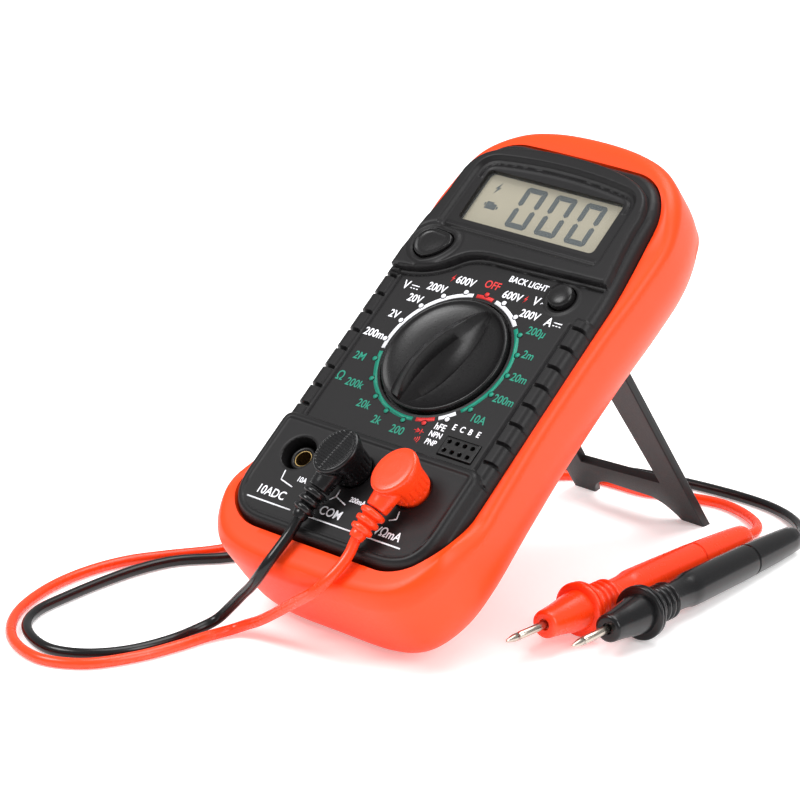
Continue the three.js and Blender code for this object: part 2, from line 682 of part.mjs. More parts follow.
// Selector: knob outside, rotor with its detents and wipers inside.
const selector = new THREE.Group();
selector.rotation.z = THREE.MathUtils.degToRad(-18); // one step clockwise of OFF
meter.add(selector);
part(selector, "selector_knob", makeKnob(), SHELL_BLACK);
part(selector, "selector_rotor", makeRotor(), WHITE);
[-1, 1].forEach((side, i) => {
  const ball = solid(new THREE.SphereGeometry(1.15, 10, 6));
  part(selector, `detent_ball_${i + 1}`, ball, METAL, side * (ROTOR.r - 0.2), 0, -4.3);
  const coil = pinX(1, side > 0 ? 10 : -14.7, side > 0 ? 14.7 : -10, 0, -4.3, 10);
  part(selector, `detent_spring_${i + 1}`, coil, METAL);
});
[0, 1, 2].forEach((i) => {
  const wiper = block(1.6, 7, ROTOR.bottom - 0.75, ROTOR.bottom - GAP);
  const mesh = part(selector, `wiper_${i + 1}`, wiper, BRASS);
  const a = (i * 2 * Math.PI) / 3 + 0.5;
  mesh.position.set(11.5 * Math.cos(a), 11.5 * Math.sin(a), 0);
  mesh.rotation.z = a;
});

// Push buttons, each kept in its hole by a flange under the deck.
const flange = { low: -3.1, high: -2.2, proud: 0.9 };
const lightCap = rod(BACKLIGHT.r, BACKLIGHT.r, flange.low, 2.2, 0, 0, 24);
const flangeRadius = BACKLIGHT.r + flange.proud;
const lightFlange = rod(flangeRadius, flangeRadius, flange.low, flange.high, 0, 0, 24);
part(meter, "backlight_button", lightCap.add(lightFlange), SHELL_BLACK, BACKLIGHT.x, BACKLIGHT.y);
const holdCap = plate(holdShape(), flange.low, 3.4, { bevel: 0.5, curveSegments: 4 });
const holdFlange = plate(holdShape(flange.proud), flange.low, flange.high, { curveSegments: 4 });
part(meter, "hold_button", holdCap.add(holdFlange), SHELL_BLACK, HOLD.x, HOLD.y);

// Kickstand, open against its stop.
const hinge = new THREE.Group();
hinge.position.set(0, STAND.hingeY, STAND.hingeZ);
hinge.rotation.x = STAND.open;
meter.add(hinge);
part(hinge, "kickstand", makeStand(), SHELL_BLACK);

// Leads. Each route runs from the strain relief to the rear of the probe.
const LEADS = [
  {
    name: "black",
    skin: GLOSS_BLACK,
    jack: 1,
    tip: [58.4, -34.5, 9.2],
    tail: [50, 71.2, 3.6],
    route: [
      [-5.5, -64.5, 34.1],
      [-6.2, -67, 30.6],
      [-6.8, -70.1, 27.5],
      [-7.6, -73.3, 24.2],
      [-9.6, -74.5, 20.4],
      [-13.3, -73.4, 16.2],
      [-17.6, -72.3, 12.1],
      [-22, -72, 7.4],
      [-25.4, -73.5, 3.4],
      [-27.4, -78.5, 1.7],
      [-28.2, -88, 1.45],
      [-31.4, -99.5, 1.45],
      [-37.7, -107.9, 1.45],
      [-45.8, -111.7, 1.45],
      [-54.8, -109.9, 1.45],
      [-61.6, -105.1, 1.45],
      [-65.4, -98.1, 1.45],
      [-66.7, -87.3, 1.45],
      [-66.3, -61.9, 1.45],
      [-63, -50.1, 1.45],
      [-55.2, -39.8, 1.45],
      [-50.6, -30.5, 1.6],
      [-49.2, -20.5, 3],
      [-51.5, -9, 4.75],
      [-54, 1.5, 3.2],
      [-55.2, 12.5, 1.6],
      [-53.6, 28.5, 1.45],
      [-49.4, 43.5, 1.45],
      [-43, 58, 1.45],
      [-33.6, 70.9, 1.45],
      [-21.4, 80.9, 1.45],
      [-9, 86.1, 1.45],
      [2.1, 88.4, 1.45],
      [11.2, 89.7, 1.45],
      [19.8, 90.3, 1.45],
      [28.4, 90, 1.45],
      [35.6, 88.1, 1.5],
      [42, 84.3, 1.9],
      [47.2, 79.1, 2.6],
      [49.6, 74.7, 3.2],
    ],
  },
  {
    name: "red",
    skin: GLOSS_RED,
    jack: 2,
    tip: [44.8, -43.5, 9.2],
    tail: [40, 64.6, 3.6],
    route: [
      [13.7, -64.5, 34.1],
      [13.6, -66.9, 30.7],
      [13, -69.8, 27.8],
      [11.6, -72.7, 24.9],
      [9, -74.5, 21.6],
      [5.2, -73.9, 18.8],
      [-0.3, -72.7, 14.9],
      [-6.5, -71.9, 10.4],
      [-13, -71.1, 6],
      [-17.4, -71.1, 3.6],
      [-20.4, -72.5, 2],
      [-22.8, -79.5, 1.5],
      [-24.2, -88.5, 1.45],
      [-27, -99.9, 1.45],
      [-33.4, -111.9, 1.45],
      [-43, -117.3, 1.45],
      [-53.6, -115.8, 1.45],
      [-61.8, -110.5, 1.45],
      [-69, -101.1, 1.45],
      [-74, -86.5, 1.45],
      [-75, -72.5, 1.45],
      [-72.6, -59.5, 1.45],
      [-67.2, -48.9, 1.45],
      [-60.6, -38.1, 1.45],
      [-56.9, -28.5, 1.45],
      [-51.5, -9, 1.45],
      [-48.6, 2.5, 1.45],
      [-46.4, 15.5, 1.45],
      [-41, 44.5, 1.45],
      [-36, 56.5, 1.45],
      [-30, 66.1, 1.45],
      [-23.6, 71.9, 1.45],
      [-16, 73.7, 1.45],
      [-2.4, 74.9, 1.45],
      [4, 78.1, 1.45],
      [16.9, 82.3, 1.45],
      [23.9, 81.7, 1.45],
      [30.6, 78.9, 1.6],
      [36, 74.3, 2.3],
      [39.3, 68.7, 3.1],
    ],
  },
];
for (const lead of LEADS) {
  const plug = new THREE.Group();
  plug.position.set(jackX[lead.jack], JACK.y, 0);
  plug.rotation.z = PLUG.turn;
  meter.add(plug);
  part(plug, `${lead.name}_plug_pin`, makePin(), METAL);
  part(plug, `${lead.name}_plug_boot`, makeBoot(), lead.skin);
  const relief = part(plug, `${lead.name}_strain_relief`, makeRelief(), lead.skin, 0, -10.7, 7.7);
  relief.rotation.x = PLUG.droop;
  const probe = new THREE.Group();
  const tip = new THREE.Vector3(...lead.tip);
  const along = new THREE.Vector3(...lead.tail).sub(tip).normalize();
  probe.position.copy(tip);
  probe.quaternion.setFromUnitVectors(new THREE.Vector3(0, 1, 0), along);
  multimeter.add(probe);
  part(probe, `${lead.name}_probe_handle`, makeHandle(), lead.skin);
  part(probe, `${lead.name}_probe_needle`, makeNeedle(), METAL);
  if (lead.route.length) part(multimeter, `${lead.name}_cord`, makeCord(lead.route), lead.skin);
}

export default multimeter;
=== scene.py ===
import json
import math

import bpy
import numpy as np
from mathutils import Matrix, Vector


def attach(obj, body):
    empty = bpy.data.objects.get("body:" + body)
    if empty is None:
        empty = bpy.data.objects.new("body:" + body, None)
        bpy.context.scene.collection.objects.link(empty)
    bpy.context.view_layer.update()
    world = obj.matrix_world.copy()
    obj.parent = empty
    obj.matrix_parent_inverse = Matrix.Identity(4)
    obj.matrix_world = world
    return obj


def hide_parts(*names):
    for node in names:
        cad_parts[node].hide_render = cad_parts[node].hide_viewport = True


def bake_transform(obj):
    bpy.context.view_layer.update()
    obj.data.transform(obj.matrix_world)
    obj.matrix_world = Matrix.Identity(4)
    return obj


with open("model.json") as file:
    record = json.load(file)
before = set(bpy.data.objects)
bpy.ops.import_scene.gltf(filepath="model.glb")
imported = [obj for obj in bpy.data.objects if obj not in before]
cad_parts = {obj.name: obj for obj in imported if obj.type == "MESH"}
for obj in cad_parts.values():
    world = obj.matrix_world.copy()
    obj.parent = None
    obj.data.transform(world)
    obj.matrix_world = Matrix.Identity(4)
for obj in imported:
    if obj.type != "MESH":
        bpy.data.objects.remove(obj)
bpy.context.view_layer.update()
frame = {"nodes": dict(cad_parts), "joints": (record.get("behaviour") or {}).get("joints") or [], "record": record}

MM = 0.001
joints = {j["name"]: j for j in frame["joints"]}
nodes = frame["nodes"]
dial_centre = Vector(joints["selector_turn"]["pos_m"])
dial_normal = Vector(joints["selector_turn"]["axis"]).normalized()
LEAN = math.atan2(-dial_normal.y, dial_normal.z)
WORLD = Matrix.Scale(MM, 4)
FACE = Matrix.Translation(dial_centre) @ Matrix.Rotation(LEAN, 4, "X") @ WORLD
SELECTOR_ANGLE = math.radians(-18)
SELECTOR = FACE @ Matrix.Rotation(SELECTOR_ANGLE, 4, "Z")


# ---- camera and light
CAMERA_PLACE = (0.5427, -0.6554, 0.364)
CAMERA_ANGLES = 41.1, 20.31, 0.93  # azimuth, elevation and roll, in degrees
CAMERA_LENS = 157.5
LIGHT_TARGET = Vector((0, 0, 0.05))


def socket(node, name, value):
    node.inputs[name].default_value = value


def make_camera():
    azimuth, elevation, roll = map(math.radians, CAMERA_ANGLES)
    across = math.cos(elevation)
    back = Vector((math.sin(azimuth) * across, -math.cos(azimuth) * across, math.sin(elevation)))
    level = Vector((math.cos(azimuth), math.sin(azimuth), 0))
    upright = back.cross(level)
    right = level * math.cos(roll) + upright * math.sin(roll)
    up = upright * math.cos(roll) - level * math.sin(roll)
    data = bpy.data.cameras.new("camera")
    data.sensor_width = 36
    data.lens = CAMERA_LENS
    camera = bpy.data.objects.new("camera", data)
    bpy.context.scene.collection.objects.link(camera)
    turn = Matrix((right, up, back)).transposed().to_4x4()
    camera.matrix_world = Matrix.Translation(CAMERA_PLACE) @ turn
    bpy.context.scene.camera = camera


def make_light(name, location, size, power):
    data = bpy.data.lights.new(name, "AREA")
    data.shape = "RECTANGLE"
    data.size, data.size_y = size
    data.energy = power
    light = bpy.data.objects.new(name, data)
    light.location = location
    light.rotation_mode = "QUATERNION"
    light.rotation_quaternion = (LIGHT_TARGET - Vector(location)).to_track_quat("-Z", "Y")
    bpy.context.scene.collection.objects.link(light)


def make_studio():
    world = bpy.data.worlds.new("studio")
    world.use_nodes = True
    background = world.node_tree.nodes["Background"]
    socket(background, "Color", (1, 1, 1, 1))
    socket(background, "Strength", 0.5)
    bpy.context.scene.world = world
    bpy.context.scene.view_settings.view_transform = "Standard"
    make_light("key", (-0.35, -0.6, 0.9), (0.5, 0.4), 9)
    make_light("right", (0.95, 0.05, 0.6), (0.35, 0.7), 6)
    make_light("top", (0.1, 0.35, 1.1), (0.8, 0.8), 11)


make_camera()
make_studio()


# ---- materials
GRAIN_DEPTH = 0.00006


def make_material(
    name, color, rough, metal=0.0, vary=0.12, speck=900.0, bump=0.25, specular=0.4, uneven=0.07, extra=None
):
    """Moulded or plated surface: colour drift, uneven gloss and a fine grain, all from noise."""
    m = bpy.data.materials.new(name)
    m.use_nodes = True
    tree = m.node_tree
    shader = tree.nodes["Principled BSDF"]
    socket(shader, "Metallic", metal)
    socket(shader, "Specular IOR Level", specular)
    place = tree.nodes.new("ShaderNodeTexCoord")
    drift = tree.nodes.new("ShaderNodeTexNoise")
    socket(drift, "Scale", 28)
    socket(drift, "Detail", 4)
    tree.links.new(place.outputs["Object"], drift.inputs["Vector"])
    ramp = tree.nodes.new("ShaderNodeValToRGB")
    ramp.color_ramp.elements[0].position = 0.3
    ramp.color_ramp.elements[1].position = 0.7
    ramp.color_ramp.elements[0].color = (*[c * (1 - vary) for c in color], 1)
    ramp.color_ramp.elements[1].color = (*[min(1, c * (1 + vary)) for c in color], 1)
    tree.links.new(drift.outputs["Fac"], ramp.inputs["Fac"])
    tree.links.new(ramp.outputs["Color"], shader.inputs["Base Color"])
    grain = tree.nodes.new("ShaderNodeTexNoise")
    socket(grain, "Scale", speck)
    socket(grain, "Detail", 3)
    tree.links.new(place.outputs["Object"], grain.inputs["Vector"])
    gloss = tree.nodes.new("ShaderNodeMapRange")
    socket(gloss, "To Min", max(0.02, rough - uneven))
    socket(gloss, "To Max", min(1, rough + uneven))
    tree.links.new(grain.outputs["Fac"], gloss.inputs["Value"])
    tree.links.new(gloss.outputs["Result"], shader.inputs["Roughness"])
    dent = tree.nodes.new("ShaderNodeBump")
    socket(dent, "Strength", bump)
    socket(dent, "Distance", GRAIN_DEPTH)
    tree.links.new(grain.outputs["Fac"], dent.inputs["Height"])
    tree.links.new(dent.outputs["Normal"], shader.inputs["Normal"])
    if extra:
        extra(shader)
    return m


def clear(shader):
    """A thin clear window, nearly all see-through."""
    socket(shader, "Alpha", 0.03)
    socket(shader, "Specular IOR Level", 0.15)
    socket(shader, "IOR", 1.5)


def glow(shader):
    """Lifts the floor to the plain white of a studio sweep."""
    socket(shader, "Emission Color", (1, 1, 1, 1))
    socket(shader, "Emission Strength", 0.3)


HOLSTER_RED = make_material(
    "holster_rubber", (0.9, 0.052, 0.005), 0.4, vary=0.04, speck=1500, bump=0.06, specular=0.26
)
PLASTIC = make_material(
    "shell_plastic", (0.0085, 0.008, 0.0085), 0.42, vary=0.14, speck=2200, bump=0.35, specular=0.2
)
KNOB_BLACK = make_material(
    "knob_plastic", (0.007, 0.0066, 0.007), 0.3, vary=0.12, speck=1800, bump=0.25, specular=0.27
)
BLACK_GLOSS = make_material(
    "black_gloss", (0.005, 0.005, 0.0055), 0.24, vary=0.1, speck=400, bump=0.02, specular=0.3, uneven=0.02
)
RED_GLOSS = make_material(
    "red_gloss", (0.9, 0.045, 0.006), 0.27, vary=0.03, speck=400, bump=0.02, uneven=0.02
)
NICKEL = make_material("plated_steel", (0.4, 0.36, 0.31), 0.24, metal=1, vary=0.1, speck=500, bump=0.15)
BRASS = make_material("contact_brass", (0.36, 0.25, 0.1), 0.4, metal=1, vary=0.15, speck=500, bump=0.2)
LENS = make_material("clear_window", (0.9, 0.95, 0.93), 0.06, vary=0.02, bump=0.02, extra=clear)
CELL = make_material("display_glass", (0.225, 0.2, 0.14), 0.5, vary=0.05, speck=700, bump=0.05)
SEGMENT = make_material("segment_ink", (0.008, 0.016, 0.02), 0.6, vary=0.2, bump=0.05)
BOARD = make_material("board_green", (0.02, 0.12, 0.05), 0.35, vary=0.3, speck=300, bump=0.4)
WHITE = make_material("white_plastic", (0.75, 0.74, 0.7), 0.45)
GREY = make_material("grey_plastic", (0.2, 0.2, 0.21), 0.5)
WRAP = make_material("battery_wrap", (0.05, 0.06, 0.08), 0.3, metal=0.3, vary=0.2)
INK_WHITE = make_material("ink_white", (0.8, 0.8, 0.84), 0.5, vary=0.05, bump=0.1)
INK_GREEN = make_material("ink_green", (0.0, 0.2, 0.13), 0.5, vary=0.08, bump=0.1)
INK_RED = make_material("ink_red", (0.55, 0.02, 0.02), 0.5, vary=0.08, bump=0.1)
FLOOR = make_material("floor", (0.93, 0.93, 0.93), 0.6, vary=0.004, speck=60, bump=0.02, extra=glow)

SLOT_LOOKS = {
    "holster_rubber": HOLSTER_RED,
    "shell_plastic": PLASTIC,
    "black_gloss": BLACK_GLOSS,
    "red_gloss": RED_GLOSS,
    "plated_steel": NICKEL,
    "contact_brass": BRASS,
    "clear_window": LENS,
    "display_glass": CELL,
    "board_green": BOARD,
    "white_plastic": WHITE,
    "grey_plastic": GREY,
    "battery_wrap": WRAP,
}
for entry in frame["record"]["subparts"]:
    looks = nodes[entry["node"]].data.materials
    looks.clear()
    looks.append(SLOT_LOOKS[entry["material_slot"]])


# ---- mesh helpers
def piece(name, points, faces, material, body, slot, place=FACE, replaces=(), sharp=None):
    """One closed mesh that rides on a body, if it has one. Edges over sharp degrees stay crisp."""
    data = bpy.data.meshes.new(name)
    data.from_pydata([place @ Vector(p) for p in points], [], faces)
    data.validate()
    data.materials.append(material)
    data.polygons.foreach_set("use_smooth", [True] * len(data.polygons))
    if sharp is not None:
        data.set_sharp_from_angle(angle=math.radians(sharp))
    obj = bpy.data.objects.new(name, data)
    bpy.context.scene.collection.objects.link(obj)
    if body:
        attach(obj, body)
    if replaces:
        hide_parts(*replaces)
    return obj


def skin(rings):
    """Quads through rings of equal count, with a fan at each end: the first ring's fan faces back."""
    n = len(rings[0])
    points = [tuple(p) for ring in rings for p in ring]
    faces = []
    for k in range(len(rings) - 1):
        for i in range(n):
            j = (i + 1) % n
            faces.append((k * n + i, k * n + j, (k + 1) * n + j, (k + 1) * n + i))
    for ring, base, flip in ((rings[0], 0, True), (rings[-1], (len(rings) - 1) * n, False)):
        points.append(tuple(np.mean(np.array(ring), axis=0)))
        hub = len(points) - 1
        for i in range(n):
            a, b = base + i, base + (i + 1) % n
            faces.append((hub, b, a) if flip else (hub, a, b))
    return points, faces


def circle(r, z, n=64, cx=0.0, cy=0.0):
    return [
        (cx + r * math.cos(2 * math.pi * i / n), cy + r * math.sin(2 * math.pi * i / n), z)
        for i in range(n)
    ]


def lathe(profile, n=64, cx=0.0, cy=0.0):
    """A turned solid from (radius, z) pairs, from its lowest ring up."""
    return skin([circle(max(r, 0.02), z, n, cx, cy) for r, z in profile])


def closed_spline(points, count):
    """Even points along a closed Catmull-Rom curve, counter-clockwise."""
    p = np.array(points, float)
    fine = []
    for k in range(len(p)):
        a, b, c, d = (p[(k + i) % len(p)] for i in (-1, 0, 1, 2))
        t = np.linspace(0, 1, 24, endpoint=False)[:, None]
        bend, twist = 2 * a - 5 * b + 4 * c - d, 3 * b - a - 3 * c + d
        fine.append(0.5 * (2 * b + (c - a) * t + bend * t**2 + twist * t**3))
    return even(np.vstack(fine), count, closed=True)


def even(line, count, closed=False):
    """The same line with its points spaced evenly."""
    if closed:
        line = np.vstack([line, line[:1]])
    run = np.concatenate([[0], np.cumsum(np.linalg.norm(np.diff(line, axis=0), axis=1))])
    at = np.linspace(0, run[-1], count + 1)[:-1] if closed else np.linspace(0, run[-1], count)
    return np.stack([np.interp(at, run, line[:, k]) for k in range(line.shape[1])], axis=1)


def bezier(points, *steps):
    """Adds straight runs (x, y) and curves (c1, c2, end) or (c, end) to a list of points."""
    for step in steps:
        a = np.array(points[-1], float)
        if isinstance(step[0], (int, float)):
            points.append(step)
            continue
        for t in np.linspace(0, 1, 17)[1:]:
            knots = [a] + [np.array(q, float) for q in step]
            while len(knots) > 1:
                knots = [u * (1 - t) + v * t for u, v in zip(knots, knots[1:])]
            points.append(tuple(knots[0]))
    return points


def box_distance(x, y, cx, cy, hx, hy, r):
    """Signed distance to a rounded box, negative inside."""
    qx = np.abs(x - cx) - (hx - r)
    qy = np.abs(y - cy) - (hy - r)
    return np.hypot(np.maximum(qx, 0), np.maximum(qy, 0)) + np.minimum(np.maximum(qx, qy), 0) - r


def poly_distance(x, y, points):
    """Signed distance to a polygon, negative inside."""
    p = np.array(points, float)
    best = np.full(x.shape, 1e9)
    inside = np.zeros(x.shape, bool)
    for (ax, ay), (bx, by) in zip(p, np.roll(p, -1, axis=0)):
        ex, ey = bx - ax, by - ay
        t = np.clip(((x - ax) * ex + (y - ay) * ey) / (ex * ex + ey * ey + 1e-12), 0, 1)
        best = np.minimum(best, (x - ax - t * ex) ** 2 + (y - ay - t * ey) ** 2)
        if ay != by:
            crosses = ((ay > y) != (by > y)) & (x < ax + (y - ay) / (by - ay) * ex)
            inside ^= crosses
    best = np.sqrt(best)
    return np.where(inside, -best, best)


def round_step(d, width):
    """0 at the edge d = 0, rising along a quarter circle to 1 at width inside it."""
    t = np.clip(-d / width, 0, 1)
    return np.sqrt(np.maximum(0, 1 - (1 - t) ** 2))


def soft_step(d, width):
    """0 at the edge d = 0, rising along an S curve to 1 at width inside it."""
    t = np.clip(-d / width, 0, 1)
    return t * t * (3 - 2 * t)


def smooth(v, start, end):
    """An S curve from 0 at start to 1 at end."""
    t = np.clip((v - start) / (end - start), 0, 1)
    return t * t * (3 - 2 * t)


def ridge(d, width):
    """1 along the line d = 0, fading to both sides."""
    return np.exp(-((d / width) ** 2))


WALL_DROP = 0.13  # how far a steep wall leans in from top to bottom


def steep(d):
    """1 inside a steep wall's foot, 0 outside its brow."""
    return np.clip(-d / WALL_DROP, 0, 1)


def snap(x, y, distances, cell):
    """Moves grid points onto the brow or the foot of the nearest steep wall, so that it is drawn cleanly."""
    shift = np.zeros((2, *x.shape))
    done = np.zeros(x.shape, bool)
    h = 1e-3
    for distance in distances:
        d = distance(x, y)
        gx = (distance(x + h, y) - distance(x - h, y)) / (2 * h)
        gy = (distance(x, y + h) - distance(x, y - h)) / (2 * h)
        brow = (np.abs(d) <= cell / 2) & ~done
        foot = (d < -cell / 2) & (d > -1.5 * cell) & ~done
        move = np.where(brow, -d, np.where(foot, -WALL_DROP - d, 0))
        shift[0] += move * gx
        shift[1] += move * gy
        done |= brow | foot
    return x + shift[0], y + shift[1]


def thick_field(x, y, top, low, keep):
    """A closed body between two height fields on one grid, without the cells that keep leaves out."""
    rows, cols = x.shape
    used = np.zeros((rows, cols), bool)
    used[:-1, :-1] |= keep
    used[1:, :-1] |= keep
    used[:-1, 1:] |= keep
    used[1:, 1:] |= keep
    number = np.cumsum(used.ravel()).reshape(rows, cols) - 1
    total = int(used.sum())
    points = np.concatenate(
        [np.stack([x[used], y[used], top[used]], 1), np.stack([x[used], y[used], low[used]], 1)]
    )
    a, b = number[:-1, :-1][keep], number[:-1, 1:][keep]
    d, c = number[1:, :-1][keep], number[1:, 1:][keep]
    faces = [np.stack([a, b, c, d], 1), np.stack([a, d, c, b], 1) + total]
    pad = np.zeros((rows + 1, cols + 1), bool)
    pad[1:-1, 1:-1] = keep
    for beyond, (row_a, col_a), (row_b, col_b) in (
        (pad[:-2, 1:-1], (0, 0), (0, 1)),
        (pad[2:, 1:-1], (1, 1), (1, 0)),
        (pad[1:-1, :-2], (1, 0), (0, 0)),
        (pad[1:-1, 2:], (0, 1), (1, 1)),
    ):
        r, s = np.nonzero(keep & ~beyond)
        p, q = number[r + row_a, s + col_a], number[r + row_b, s + col_b]
        faces.append(np.stack([q, p, p + total, q + total], 1))
    return points.tolist(), np.concatenate(faces).tolist()


# ---- test leads
JACKS = [(-20.9 + 19.2 * i, -39.2) for i in range(3)]
PLUG_TURN = math.radians(-10)
CORD_RADIUS = 1.4
CORD_IN_HANDLE = (102, 84, 66, 48)  # how far from the tip the cord's points lie inside the probe's handle
RELIEF_END = (0, -15.6, 7.0)  # in the plug's own frame
PROBE = {"mouth": 16, "flange": 31.5, "ribs": 44, "length": 106.2}
LEADS = {
    "black": {
        "look": BLACK_GLOSS,
        "jack": 1,
        "tip": (58.4, -34.5, 9.2),
        "tail": (50, 71.2, 3.6),
        "route": [
            (-5.5, -64.5, 34.1), (-6.2, -67, 30.6), (-6.8, -70.1, 27.5), (-7.6, -73.3, 24.2),
            (-9.6, -74.5, 20.4), (-13.3, -73.4, 16.2), (-17.6, -72.3, 12.1), (-22, -72, 7.4),
            (-25.4, -73.5, 3.4), (-27.4, -78.5, 1.7), (-28.2, -88, 1.45), (-31.4, -99.5, 1.45),
            (-37.7, -107.9, 1.45), (-45.8, -111.7, 1.45), (-54.8, -109.9, 1.45), (-61.6, -105.1, 1.45),
            (-65.4, -98.1, 1.45), (-66.7, -87.3, 1.45), (-66.3, -61.9, 1.45),
            (-63, -50.1, 1.45), (-55.2, -39.8, 1.45), (-50.6, -30.5, 1.6), (-49.2, -20.5, 3),
            (-51.5, -9, 4.75), (-54, 1.5, 3.2), (-55.2, 12.5, 1.6), (-53.6, 28.5, 1.45),
            (-49.4, 43.5, 1.45), (-43, 58, 1.45), (-33.6, 70.9, 1.45), (-21.4, 80.9, 1.45),
            (-9, 86.1, 1.45), (2.1, 88.4, 1.45), (11.2, 89.7, 1.45), (19.8, 90.3, 1.45),
            (28.4, 90, 1.45), (35.6, 88.1, 1.5), (42, 84.3, 1.9), (47.2, 79.1, 2.6), (49.6, 74.7, 3.2),
        ],
    },
    "red": {
        "look": RED_GLOSS,
        "jack": 2,
        "tip": (44.8, -43.5, 9.2),
        "tail": (40, 64.6, 3.6),
        "route": [
            (13.7, -64.5, 34.1), (13.6, -66.9, 30.7), (13, -69.8, 27.8), (11.6, -72.7, 24.9),
            (9, -74.5, 21.6), (5.2, -73.9, 18.8), (-0.3, -72.7, 14.9), (-6.5, -71.9, 10.4),
            (-13, -71.1, 6), (-17.4, -71.1, 3.6), (-20.4, -72.5, 2), (-22.8, -79.5, 1.5),
            (-24.2, -88.5, 1.45), (-27, -99.9, 1.45), (-33.4, -111.9, 1.45), (-43, -117.3, 1.45),
            (-53.6, -115.8, 1.45), (-61.8, -110.5, 1.45), (-69, -101.1, 1.45), (-74, -86.5, 1.45),
            (-75, -72.5, 1.45), (-72.6, -59.5, 1.45), (-67.2, -48.9, 1.45), (-60.6, -38.1, 1.45),
            (-56.9, -28.5, 1.45), (-51.5, -9, 1.45), (-48.6, 2.5, 1.45),
            (-46.4, 15.5, 1.45), (-41, 44.5, 1.45), (-36, 56.5, 1.45),
            (-30, 66.1, 1.45), (-23.6, 71.9, 1.45), (-16, 73.7, 1.45),
            (-2.4, 74.9, 1.45), (4, 78.1, 1.45), (16.9, 82.3, 1.45),
            (23.9, 81.7, 1.45), (30.6, 78.9, 1.6), (36, 74.3, 2.3), (39.3, 68.7, 3.1),
        ],
    },
}


def open_spline(points, count):
    """Even points along a centripetal Catmull-Rom curve."""
    p = [np.array(q, float) for q in points]
    p = [2 * p[0] - p[1], *p, 2 * p[-1] - p[-2]]
    line = []
    for a, b, c, d in zip(p, p[1:], p[2:], p[3:]):
        t1 = math.sqrt(np.linalg.norm(b - a))
        t2 = t1 + math.sqrt(np.linalg.norm(c - b))
        t3 = t2 + math.sqrt(np.linalg.norm(d - c))
        for t in np.linspace(t1, t2, 14, endpoint=False):
            a1 = a * (t1 - t) / t1 + b * t / t1
            a2 = b * (t2 - t) / (t2 - t1) + c * (t - t1) / (t2 - t1)
            a3 = c * (t3 - t) / (t3 - t2) + d * (t - t2) / (t3 - t2)
            b1 = a1 * (t2 - t) / t2 + a2 * t / t2
            b2 = a2 * (t3 - t) / (t3 - t1) + a3 * (t - t1) / (t3 - t1)
            line.append(b1 * (t2 - t) / (t2 - t1) + b2 * (t - t1) / (t2 - t1))
    line.append(p[-2])
    return even(np.array(line), count)


def plug_place(lead):
    return FACE @ Matrix.Translation((*JACKS[lead["jack"]], 0)) @ Matrix.Rotation(PLUG_TURN, 4, "Z")


def make_cord(name, lead):
    """A round tube along the route, which runs on inside the probe's handle."""
    tip, tail = np.array(lead["tip"], float), np.array(lead["tail"], float)
    along = (tail - tip) / np.linalg.norm(tail - tip)
    inside = [tuple(tip + along * reach) for reach in CORD_IN_HANDLE]
    start = tuple(plug_place(lead) @ Vector(RELIEF_END) / MM)
    line = open_spline([start, *lead["route"], *inside], 480)
    heading = np.gradient(line, axis=0)
    heading /= np.linalg.norm(heading, axis=1)[:, None]
    side = np.cross(heading[0], (1, 0, 0))
    side /= np.linalg.norm(side)
    turn = [2 * math.pi * i / 20 for i in range(20)]
    rings = []
    for p, t in zip(line, heading):
        side = side - t * np.dot(side, t)
        side /= np.linalg.norm(side)
        other = np.cross(t, side)
        rings.append([p + CORD_RADIUS * (math.cos(a) * side + math.sin(a) * other) for a in turn])
    points, faces = skin(rings)
    slot = f"{name}_gloss"
    obj = piece(f"{name}_lead", points, faces, lead["look"], None, slot, WORLD, [f"{name}_cord"])
    return obj, line * MM


cords = {name: make_cord(name, lead) for name, lead in LEADS.items()}


# ---- outlines (millimetres, face frame)
FACE_HALF, FACE_TOP, FACE_BOTTOM = 33.8, 67.4, 61.3
FACE_CORNER = 14, 13.6
JACK_RISE = 2.7
WINDOW = (0, 47.8, 22.5, 8.3)  # centre, half width and half height
WELL, KNOB_WELL, LAMP_HOLE = 4.9, 18.15, 3.95  # radii
BACKLIGHT, HOLD, HFE = (21.5, 25.4), (-23.4, 29.2), (20.8, -23.7)


def rounded(half_x, top, bottom, rx, ry):
    """An outline of the meter with elliptical corners, as even points."""
    line = []
    for cx, cy, start in ((half_x - rx, -bottom + ry, -90), (half_x - rx, top - ry, 0)):
        turn = np.radians(np.linspace(start, start + 90, 40))
        line += [(cx + rx * math.cos(a), cy + ry * math.sin(a)) for a in turn]
    line = np.array(line)
    return even(np.vstack([line, line[::-1] * (-1, 1)]), 1600, closed=True)


def taper(y):
    """The face narrows a little towards its top."""
    return 1 - 0.07 * smooth(y, 26, 56)


def lip_rise(y):
    """How far the holster's lip stands up over the face's two ends."""
    return 5.2 * smooth(-y, 38, 56) + 2.2 * smooth(y, 50, 66)


FACE_LINE = rounded(FACE_HALF, FACE_TOP, FACE_BOTTOM, *FACE_CORNER)
FACE_LINE[:, 0] *= taper(FACE_LINE[:, 1])
FACE_EDGE = FACE_LINE[::12]
BODY_LINE = rounded(34.6, 70.3, 64.8, 14.5, 14)
HOLSTER_HALF = [
    (0, 76), (14, 75), (24.5, 71.6), (32.8, 64), (37.2, 52), (37.6, 38), (36.5, 18),
    (36.3, -8), (37.2, -28), (38.4, -46), (37, -58), (31, -67), (20, -70.6),
]
HOLSTER_LINE = closed_spline(
    [*HOLSTER_HALF, (0, -71), *[(-x, y) for x, y in HOLSTER_HALF[:0:-1]]], 2400
)[::-1]

